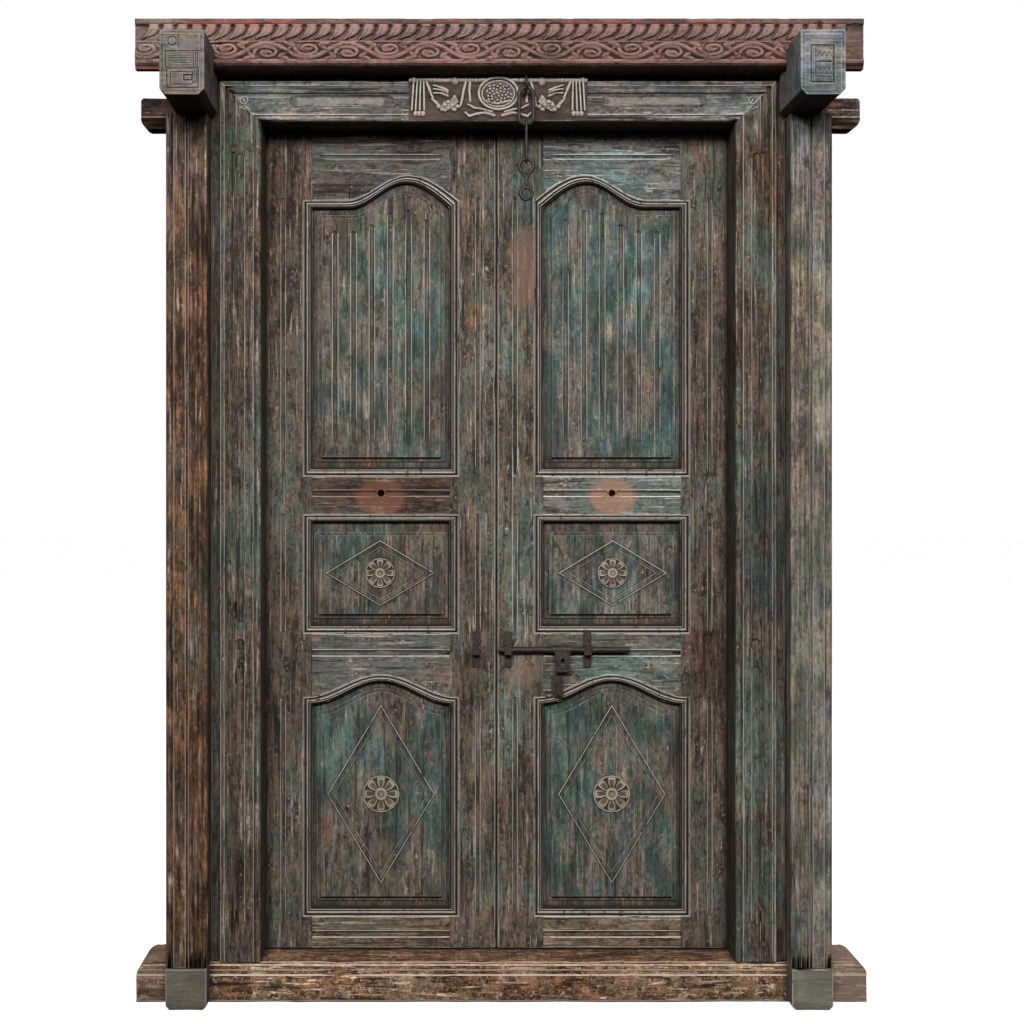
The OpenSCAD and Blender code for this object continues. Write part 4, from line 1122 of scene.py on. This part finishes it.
def make_lozenge(name, node, material):
    """A mitred strip with two worn ridges, in a lozenge."""
    low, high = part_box(node)
    cx, cz = (low.x + high.x) / 2, (low.z + high.z) / 2
    hx, hz = (high.x - low.x) / 2, (high.z - low.z) / 2
    k = math.hypot(hx, hz)
    # (inset, height, worn, shade_and_grime) of each band; the last darkens quirks and hollows as painted
    # shade
    profile = [(0, -1.5, 0, 1), (0, 3.6, 1, 0), (0.4, 4.8, 1, 0), (1.8, 4.8, 0, 1), (2.8, 3.8, 0, 0.7),
               (4.4, 3.4, 0, 0.15),
               (11.0, 1.4, 0, 0.3), (12.6, 1.2, 0.6, 0), (13.6, 1.2, 0, 1), (14.6, 0.6, 0, 0.8),
               (15.4, -1.5, 0, 0)]
    points, faces = [], []
    for inset, h, worn, shade_and_grime in profile:
        dx, dz = inset * MM * k / hz, inset * MM * k / hx
        for x, z in ((-hx + dx, 0), (0, -hz + dz), (hx - dx, 0), (0, hz - dz)):
            points.append((cx + x, FIELD_Y - h * MM, cz + z))
    for r in range(len(profile)):
        n = (r + 1) % len(profile)
        for c in range(4):
            d = (c + 1) % 4
            faces.append((r * 4 + c, r * 4 + d, n * 4 + d, n * 4 + c))
    mesh = mesh_from(name, points, faces)
    mark(mesh, "worn", [band[2] for band in profile for c in range(4)], "FACE")
    mark(mesh, "shade_and_grime", [band[3] for band in profile for c in range(4)], "FACE")
    finish(name, outward(mesh), frame["nodes"][node]["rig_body"], material, [node], sharp=20)


def ring_centre(node, share):
    """A point on a hanging ring's middle line, at a share of its height."""
    low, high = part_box(node)
    return Vector(((low.x + high.x) / 2, 0, low.z + (high.z - low.z) * share))


def forged_ring(node, material, centres, amount):
    """A hanging ring with its wire hammered wider to the outside; inside, where the next link hangs, it
    stays as it is."""
    bm = bmesh.new()
    bm.from_mesh(frame["nodes"][node].data)
    bmesh.ops.remove_doubles(bm, verts=bm.verts, dist=1e-5)
    bm.normal_update()
    moves = []
    for v in bm.verts:
        out = min((Vector((v.co.x - c.x, 0, v.co.z - c.z)) for c in centres),
                  key=lambda d: d.length).normalized()
        facing = v.normal.dot(out)
        uneven = 0.7 + 0.5 * noise.noise(v.co * 60)
        moves.append(out * (amount * uneven * max(0.0, facing)))
    for v, move in zip(bm.verts, moves):
        v.co += move
    mesh = bpy.data.meshes.new("forged_" + node)
    bm.to_mesh(mesh)
    bm.free()
    finish("forged_" + node, mesh, frame["nodes"][node]["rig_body"], material, [node], sharp=60)


# ---------- finishes ----------
CREAM = tone(172, 162, 150)
GAP_DARK = tone(46, 36, 30)
BROWN = tone(88, 71, 61)
RUST = tone(112, 74, 56)
PINKISH = tone(104, 84, 78)
TEAL = tone(74, 96, 90)

jamb_paint = aged_material(
    "jamb_paint", "Z", 1.3, Paint_A=tone(84, 92, 84), Paint_B=tone(94, 85, 76), Tint=TEAL, Tinted=0.5,
    Wood_A=GAP_DARK,
    Wood_B=BROWN, Primer=CREAM, Bare=0.50, Streaks=0.8, Flakes=0.5, Lines=0.6, Cracks=0.8,
    Shade=(0.86, 0.88, 0.88),
    patches=[patch(593, 1800, 30, 90, tint=(1.0, 0.80, 0.62)),
             patch(-593, 1850, 34, 60, tint=(0.78, 1.0, 0.88)),
             patch(-610, 1600, 14, 240, tint=(0.9, 0.95, 1.05)),
             patch(580, 1000, 50, 150, tint=(0.6, 0.62, 0.66), soft=0.05),
             patch(-527, 1200, 5, 800, tint=(1.25, 1.22, 1.2), soft=0.003),
             patch(527, 1200, 5, 800, tint=(1.25, 1.22, 1.2), soft=0.003)])
lintel_paint = aged_material(
    "lintel_paint", "X", 4.1, Paint_A=tone(102, 110, 106), Paint_B=tone(112, 106, 102),
    Tint=tone(88, 104, 102), Tinted=0.5,
    Wood_A=GAP_DARK, Wood_B=BROWN, Primer=tone(190, 184, 178), Bare=0.40, Streaks=0.8, Flakes=0.5, Lines=0.7,
    Cracks=0.9,
    Shade=(0.84, 0.78, 0.80), Patchy=1.0,
    patches=[patch(0, 1951, 540, 7, tint=(1.6, 1.55, 1.5), soft=0.003, ragged=0.004)]
    + [patch(side * 765, 1972, 42, 90, strength=0.97, ragged=0.002) for side in (-1, 1)]
    + [patch(-765, 1972, 42, 90, tint=(0.85, 0.72, 0.66)), patch(765, 1972, 42, 90, tint=(1.5, 1.45, 1.35)),
       # the horns' lower parts are darkened: painted shade under them
       patch(765, 1952, 42, 14, tint=(0.5, 0.42, 0.38)), patch(-765, 1952, 42, 14, tint=(0.55, 0.5, 0.5)),
       # a dark band under the cornice: painted shadow of the cornice
       patch(0, 2037, 640, 7, tint=(0.45, 0.38, 0.34), soft=0.006),
       patch(420, 1990, 170, 46, tint=(0.90, 0.99, 1.04), soft=0.03)]
    + [patch(side * 344, 1984, 98, 8, cover=tone(158, 150, 144), strength=0.4, soft=0.004,
             ragged=0.008) for side in (-1, 1)]
    # dark lines along the sunk panels' rims: painted shadow
    + [patch(side * 344, z, 104, 1.5, tint=(0.3, 0.27, 0.25), soft=0.002,
             ragged=0.001) for side in (-1, 1) for z in (1972, 1996)])
stile_paint = aged_material(
    "stile_paint", "Z", 7.7, Paint_A=tone(90, 94, 86), Paint_B=tone(98, 88, 79), Tint=RUST, Tinted=0.4,
    Wood_A=GAP_DARK,
    Wood_B=BROWN, Primer=CREAM, Bare=0.52, Streaks=0.75, Flakes=0.6, Lines=0.55, Cracks=0.7,
    Shade=(0.84, 0.87, 0.88),
    patches=[patch(61, 1632, 27, 88, strength=0.9, ragged=0.004, soft=0.004),
             patch(61, 1632, 27, 88, cover=tone(125, 99, 83), strength=0.5, ragged=0.008, soft=0.010),
             patch(66, 712, 30, 34, cover=tone(116, 80, 66), strength=0.45, ragged=0.02, soft=0.02),
             patch(-55, 1516, 16, 30, tint=(1.35, 0.98, 0.75)),
             patch(480, 732, 40, 80, tint=(0.78, 0.62, 0.56), ragged=0.008),
             patch(48, 1020, 46, 500, tint=(1.08, 1.20, 1.20), soft=0.05),
             patch(0, 1020, 104, 940, tint=(1.10, 1.12, 1.12), soft=0.004),
             patch(60, 1830, 46, 130, tint=(0.86, 1.08, 1.12), soft=0.04),
             patch(-475, 1820, 60, 140, tint=(0.98, 0.92, 0.88), soft=0.05)])
moulding_paint = aged_material(
    "moulding_paint", "Z", 7.7, Paint_A=tone(90, 92, 84), Paint_B=tone(96, 84, 75), Tint=RUST, Tinted=0.3,
    Wood_A=GAP_DARK,
    Wood_B=BROWN, Primer=tone(214, 206, 196), Bare=0.52, Streaks=0.6, Flakes=0.5, Lines=0.3, Cracks=0.5,
    Shade=(0.80, 0.80, 0.80), shade_and_dirt_amount=0.94)
rail_paint = aged_material(
    "rail_paint", "X", 2.9, Paint_A=tone(96, 100, 93), Paint_B=tone(104, 93, 86), Tint=PINKISH, Tinted=0.5,
    Wood_A=GAP_DARK,
    Wood_B=BROWN, Primer=tone(200, 192, 182), Bare=0.44, Streaks=0.75, Flakes=0.6, Lines=0.55, Cracks=0.7,
    Shade=(0.84, 0.87, 0.88),
    patches=[patch(x, 1112, 54, 40, oval=1.0, ragged=0.003, soft=0.008) for x in (-261, 261)]
    + [patch(x, 1112, 54, 40, oval=1.0, ragged=0.003, soft=0.010, cover=tone(162, 122, 97),
             strength=0.5) for x in (-261, 261)]
    + [patch(261, 1850, 180, 80, tint=(1.08, 1.36, 1.55), soft=0.04),
       patch(-261, 1850, 180, 80, tint=(0.66, 0.67, 0.71), soft=0.04),
       patch(-261, 1120, 180, 46, tint=(0.62, 0.49, 0.46), soft=0.02),
       patch(261, 1120, 180, 46, tint=(1.32, 1.45, 1.55), soft=0.02),
       patch(-261, 735, 180, 50, tint=(1.1, 1.05, 1.1), soft=0.03),
       patch(261, 735, 180, 50, tint=(1.1, 1.32, 1.36), soft=0.03),
       patch(-261, 130, 200, 50, tint=(1.17, 1.08, 0.92), soft=0.03),
       patch(261, 130, 200, 50, tint=(1.38, 1.32, 1.12), soft=0.03)])
panel_paint = aged_material(
    "panel_paint", "Z", 5.5, Paint_A=tone(76, 95, 87), Paint_B=tone(94, 93, 84), Tint=tone(98, 84, 74),
    Tinted=0.65,
    Wood_A=GAP_DARK, Wood_B=BROWN, Primer=CREAM, Bare=0.40, Streaks=0.75, Flakes=0.7, Lines=0.45, Cracks=0.6,
    Shade=(0.80, 0.80, 0.84), Patchy=1.0,
    patches=[patch(side * 261, z, 170, 14, tint=(1.10, 0.88, 0.82), soft=0.006,
                   ragged=0.004) for side in (-1, 1)
             for z in (190, 1190, 830, 1048)]
    # thin dark lines under the raised fields: painted shadow
    + [patch(side * 261, z, 136, 2, tint=(0.12, 0.10, 0.10), soft=0.001, ragged=0.0003) for side in (-1, 1)
       for z in (204, 1199, 844)]
    + [patch(261, 1300, 180, 500, tint=(1.06, 1.12, 1.16), soft=0.02),
       patch(-261, 930, 150, 100, tint=(0.93, 0.90, 0.88), soft=0.02)])
left_post = aged_material(
    "left_post_wood", "Z", 9.1, Paint_A=tone(94, 84, 72), Paint_B=tone(104, 82, 67), Tint=tone(84, 92, 78),
    Tinted=0.5,
    Wood_A=tone(58, 40, 30), Wood_B=tone(106, 76, 58), Primer=CREAM, Bare=0.60, Streaks=0.85, Flakes=0.45,
    Lines=0.7,
    Cracks=0.8, Shade=(0.86, 0.88, 0.88), Patchy=1.0,
    patches=[patch(-680, 1850, 60, 110, tint=(0.84, 0.94, 1.1), soft=0.05),
             patch(-680, 850, 60, 850, tint=(0.99, 0.90, 0.80), soft=0.15)])
right_post = aged_material(
    "right_post_wood", "Z", 3.7, Paint_A=tone(112, 112, 102), Paint_B=tone(120, 108, 97),
    Tint=tone(94, 102, 90),
    Tinted=0.5, Wood_A=tone(64, 54, 46), Wood_B=tone(110, 93, 80), Primer=tone(170, 166, 156), Bare=0.42,
    Streaks=0.75,
    Flakes=0.45, Lines=0.6, Cracks=0.7, Shade=(0.89, 0.90, 0.93), Patchy=1.0,
    patches=[patch(680, 1800, 60, 150, tint=(0.80, 0.84, 0.96), soft=0.06)])
block_paint = aged_material(
    "block_paint", "X", 6.3, Paint_A=tone(100, 98, 86), Paint_B=tone(94, 88, 78), Tint=tone(112, 112, 102),
    Tinted=0.4,
    Wood_A=BROWN, Wood_B=BROWN, Primer=tone(130, 126, 116), Bare=0.1, Streaks=0.3, Flakes=0.15, Lines=0.1,
    Cracks=0.1,
    Shade=(0.81, 0.77, 0.77), Patchy=0.3, patches=[patch(680, 45, 60, 60, tint=(1.38, 1.48, 1.52))])
bracket_paint = aged_material(
    "bracket_paint", "X", 8.3, Paint_A=tone(118, 128, 127), Paint_B=tone(130, 120, 114),
    Tint=tone(112, 124, 124),
    Tinted=0.5, Wood_A=tone(66, 54, 46), Wood_B=tone(112, 98, 88), Primer=tone(158, 152, 146), Bare=0.36,
    Streaks=0.6,
    Flakes=0.5, Lines=0.3, Cracks=0.5, Shade=(0.42, 0.42, 0.44), Patchy=1.0, corner_shade_size=14 * MM,
    patches=[patch(-664, 2015, 60, 80, tint=(1.20, 1.08, 1.02)),
             patch(664, 2015, 60, 80, tint=(1.60, 1.68, 1.76))])
cornice_paint = aged_material(
    "cornice_paint", "X", 0.7, Paint_A=tone(120, 88, 82), Paint_B=tone(132, 104, 96), Tint=tone(112, 76, 68),
    Tinted=0.5,
    Wood_A=tone(76, 48, 40), Wood_B=tone(128, 98, 86), Primer=tone(158, 132, 122), Bare=0.42, Streaks=0.4,
    Flakes=0.3,
    Lines=0.3, Cracks=0.5, corner_shade_size=11 * MM, shade_and_dirt_amount=0.75, Shade=(0.70, 0.67, 0.70), Patchy=0.8,
    patches=[patch(0, 2082, 725, 24, tint=(1.06, 1.02, 1.0), soft=0.004),
             patch(0, 2121, 715, 15, tint=(1.05, 1.08, 1.13), soft=0.004),
             patch(400, 2095, 330, 60, tint=(0.86, 0.81, 0.80), soft=0.15),
             patch(-560, 2143, 130, 10, tint=(1.2, 0.82, 0.76), soft=0.01),
             patch(350, 2143, 200, 8, tint=(1.15, 0.85, 0.85)),
             # a darker red band at the cornice's lower edge: partly red-brown paint, partly painted shade
             # under the carving
             patch(0, 2044, 900, 6, tint=(0.85, 0.56, 0.48), soft=0.003),
             patch(-760, 2095, 55, 60, tint=(1.08, 1.28, 1.26)),
             patch(765, 2095, 40, 60, tint=(0.72, 0.80, 0.82))])
sill_paint = aged_material(
    "sill_paint", "X", 1.9, Paint_A=tone(150, 126, 102), Paint_B=tone(172, 150, 130), Tint=tone(110, 74, 54),
    Tinted=0.6,
    Wood_A=tone(50, 30, 18), Wood_B=tone(108, 78, 56), Primer=tone(205, 184, 162), Bare=0.56, Short=2.0,
    Streaks=0.85,
    Flakes=0.8, Lines=0.8, Cracks=0.9, Shade=(1.2, 1.2, 1.17), Patchy=0.9,
    patches=[patch(-765, 58, 46, 40, cover=tone(118, 100, 84), strength=0.45),
             patch(780, 50, 46, 60, cover=tone(136, 118, 106), strength=0.6),
             patch(0, 88, 900, 6, tint=(0.8, 0.72, 0.66), soft=0.004),
             patch(40, 45, 420, 60, tint=(0.91, 0.89, 0.92), soft=0.05)])
carved_paint = aged_material(
    "carved_paint", "X", 2.2, Paint_A=tone(134, 122, 112), Paint_B=tone(146, 136, 126),
    Tint=tone(110, 92, 82),
    Tinted=0.4, Wood_A=tone(80, 62, 52), Wood_B=tone(120, 104, 92), Primer=tone(168, 158, 145), Bare=0.3,
    Streaks=0.3,
    Flakes=0.5, Lines=0.1, Cracks=0.2, Shade=(0.85, 0.83, 0.74), corner_shade_size=8 * MM,
    patches=[patch(-261, 443, 60, 60, tint=(0.90, 0.90, 0.86))])
# its raised colour darkens the garland's ground between the carving: painted shade
garland_paint = aged_material(
    "garland_paint", "X", 2.2, Paint_A=tone(134, 122, 112), Paint_B=tone(146, 136, 126),
    Tint=tone(110, 92, 82),
    Tinted=0.4, Wood_A=tone(80, 62, 52), Wood_B=tone(120, 104, 92), Primer=tone(188, 178, 168), Bare=0.3,
    Streaks=0.3,
    Flakes=0.5, Lines=0.1, Cracks=0.2, Shade=(0.86, 0.84, 0.88), corner_shade_size=8 * MM, raised=(0.26, 0.22, 0.21))
peg_wood = aged_material("peg_wood", "Z", 2.4, Paint_A=BROWN, Paint_B=tone(96, 84, 74), Wood_A=GAP_DARK,
                         Wood_B=BROWN, Primer=CREAM, Bare=0.5, Flakes=0.4, Lines=0.2, Cracks=0.5,
                         Shade=(0.85, 0.85, 0.85))
iron = iron_material("wrought_iron", tone(34, 30, 29), tone(78, 62, 54), 0.5)

# ---------- the frame ----------
for side in ("left", "right"):
    # jamb faces that look into the opening, and bracket and lintel faces that look down, are darkened:
    # painted shade
    timber(f"jamb_{side}", jamb_paint, 1.0 if side == "left" else 2.0, reveal_shade=0.5)
    timber(f"post_{side}", left_post if side == "left" else right_post,
           3.0 if side == "left" else 4.0)
    timber(f"base_block_{side}", block_paint, 5.0, wear=2.0 * MM, bevel=2.5 * MM, step=0.02)
    timber(f"bracket_{side}", bracket_paint, 6.0, wear=2.0 * MM, bevel=3 * MM, step=0.02,
           under=0.9, sunk_front=2 * MM, outline_wear=0.25)
    make_bracket_carving(side, bracket_paint)
timber("lintel", lintel_paint, 7.0, under=0.9)
make_corner_discs(lintel_paint)
timber("sill", sill_paint, 8.0, wear=2.2 * MM, bevel=2 * MM)
timber("frame_pegs", peg_wood, 9.0, bevel=0.8 * MM)
make_cornice(cornice_paint)
make_cornice_leaves(cornice_paint)
make_garland(garland_paint)

# ---------- the leaves ----------
for n, side in enumerate(BODIES):
    for part in ("hinge_stile", "lock_stile"):
        timber(f"{side}_{part}", stile_paint, 10.0 + n)
    for k, part in enumerate(("bottom_rail", "lower_mid_rail", "upper_mid_rail", "top_rail")):
        timber(f"{side}_{part}", rail_paint, 12.0 + n + k, axis=0, bevel=1.7 * MM)
    for place in OPENINGS:
        timber(f"{side}_{place}_panel", panel_paint, 16.0 + n, step=0.06, outline_wear=0.2,
               bevel=(1.7 if side == "left" else 1.1) * MM)
    for place in ("middle", "lower"):
        make_lozenge(f"{side}_{place}_strip", f"{side}_{place}_lozenge", panel_paint)
        make_rosette(f"{side}_{place}_flower", f"{side}_{place}_rosette", carved_paint)
    timber(f"{side}_pegs", peg_wood, 20.0 + n, bevel=0.8 * MM)
leaf_mouldings(moulding_paint)

forged_ring("chain_ring", iron, (ring_centre("chain_ring", 0.5),) * 2, 2.2 * MM)
forged_ring("chain_hook_link", iron, (ring_centre("chain_hook_link", 0.8),
                                      ring_centre("chain_hook_link", 0.2)), 1.8 * MM)

for node in ("pivot_sockets", "chain_staple", "keeper", "bolt_guides", "padlock_staple", "bolt_rod", "hasp",
             "chain_link", "left_pivots", "right_pivots"):
    frame["nodes"][node].data.materials.clear()
    frame["nodes"][node].data.materials.append(iron)

# ---------- stage ----------
FLOOR = 30
MIDDLE = (0, 0, 1.1)
CAMERA_AT = Vector((-0.150, FRONT - 3.7, 1.150))
camera_data = bpy.data.cameras.new("camera")
camera_data.lens = 59.13
camera_data.sensor_width = 36
camera_data.shift_x = 0.080
camera_data.shift_y = -0.031
camera = bpy.data.objects.new("camera", camera_data)
camera.location = CAMERA_AT
camera.rotation_euler = (math.pi / 2, 0, 0)
bpy.context.scene.collection.objects.link(camera)
bpy.context.scene.camera = camera


def plain(name, colour, glow=0.0):
    """A matt finish for the stage, which may glow."""
    material = bpy.data.materials.new(name)
    material.use_nodes = True
    shader = material.node_tree.nodes["Principled BSDF"]
    shader.inputs["Base Color"].default_value = (*colour, 1)
    shader.inputs["Roughness"].default_value = 0.9
    shader.inputs["Emission Color"].default_value = (1, 1, 1, 1)
    shader.inputs["Emission Strength"].default_value = glow
    return material


floor_corners = [(-FLOOR, -FLOOR, 0), (FLOOR, -FLOOR, 0), (FLOOR, FLOOR, 0), (-FLOOR, FLOOR, 0)]
floor = bpy.data.objects.new("floor", mesh_from("floor", floor_corners, [(0, 1, 2, 3)]))
floor.data.materials.append(plain("pale_floor", (0.5, 0.5, 0.5), 0.80))
floor.visible_diffuse = False
floor.visible_glossy = False
bpy.context.scene.collection.objects.link(floor)


def area_light(name, at, target, size, power):
    data = bpy.data.lights.new(name, "AREA")
    data.shape = "RECTANGLE"
    data.size, data.size_y = size
    data.energy = power
    light = bpy.data.objects.new(name, data)
    light.location = at
    light.rotation_euler = (Vector(target) - Vector(at)).to_track_quat("-Z", "Y").to_euler()
    bpy.context.scene.collection.objects.link(light)


area_light("key", (-0.3, -4.6, 3.4), MIDDLE, (3.6, 1.2), 290)
area_light("fill", (0.3, -5.5, 3.2), MIDDLE, (4.0, 1.6), 60)
area_light("back", (0.3, 4.5, 3.5), MIDDLE, (4.0, 2.0), 120)

world = bpy.data.worlds.new("studio")
world.use_nodes = True
sky = Tree(world.node_tree)
background = world.node_tree.nodes["Background"]
background.inputs["Color"].default_value = (1, 1, 1, 1)
path = sky.node("ShaderNodeLightPath")
up = sky.node("ShaderNodeSeparateXYZ", {0: sky.node("ShaderNodeTexCoord").outputs["Generated"]}).outputs["Z"]
glow = sky.span(up, -0.15, 0.75, 0.015, 0.42)
strength = sky.math("MAXIMUM", glow, path.outputs["Is Camera Ray"])
sky.put(background.inputs["Strength"], strength)
bpy.context.scene.world = world
bpy.context.scene.view_settings.view_transform = "Standard"
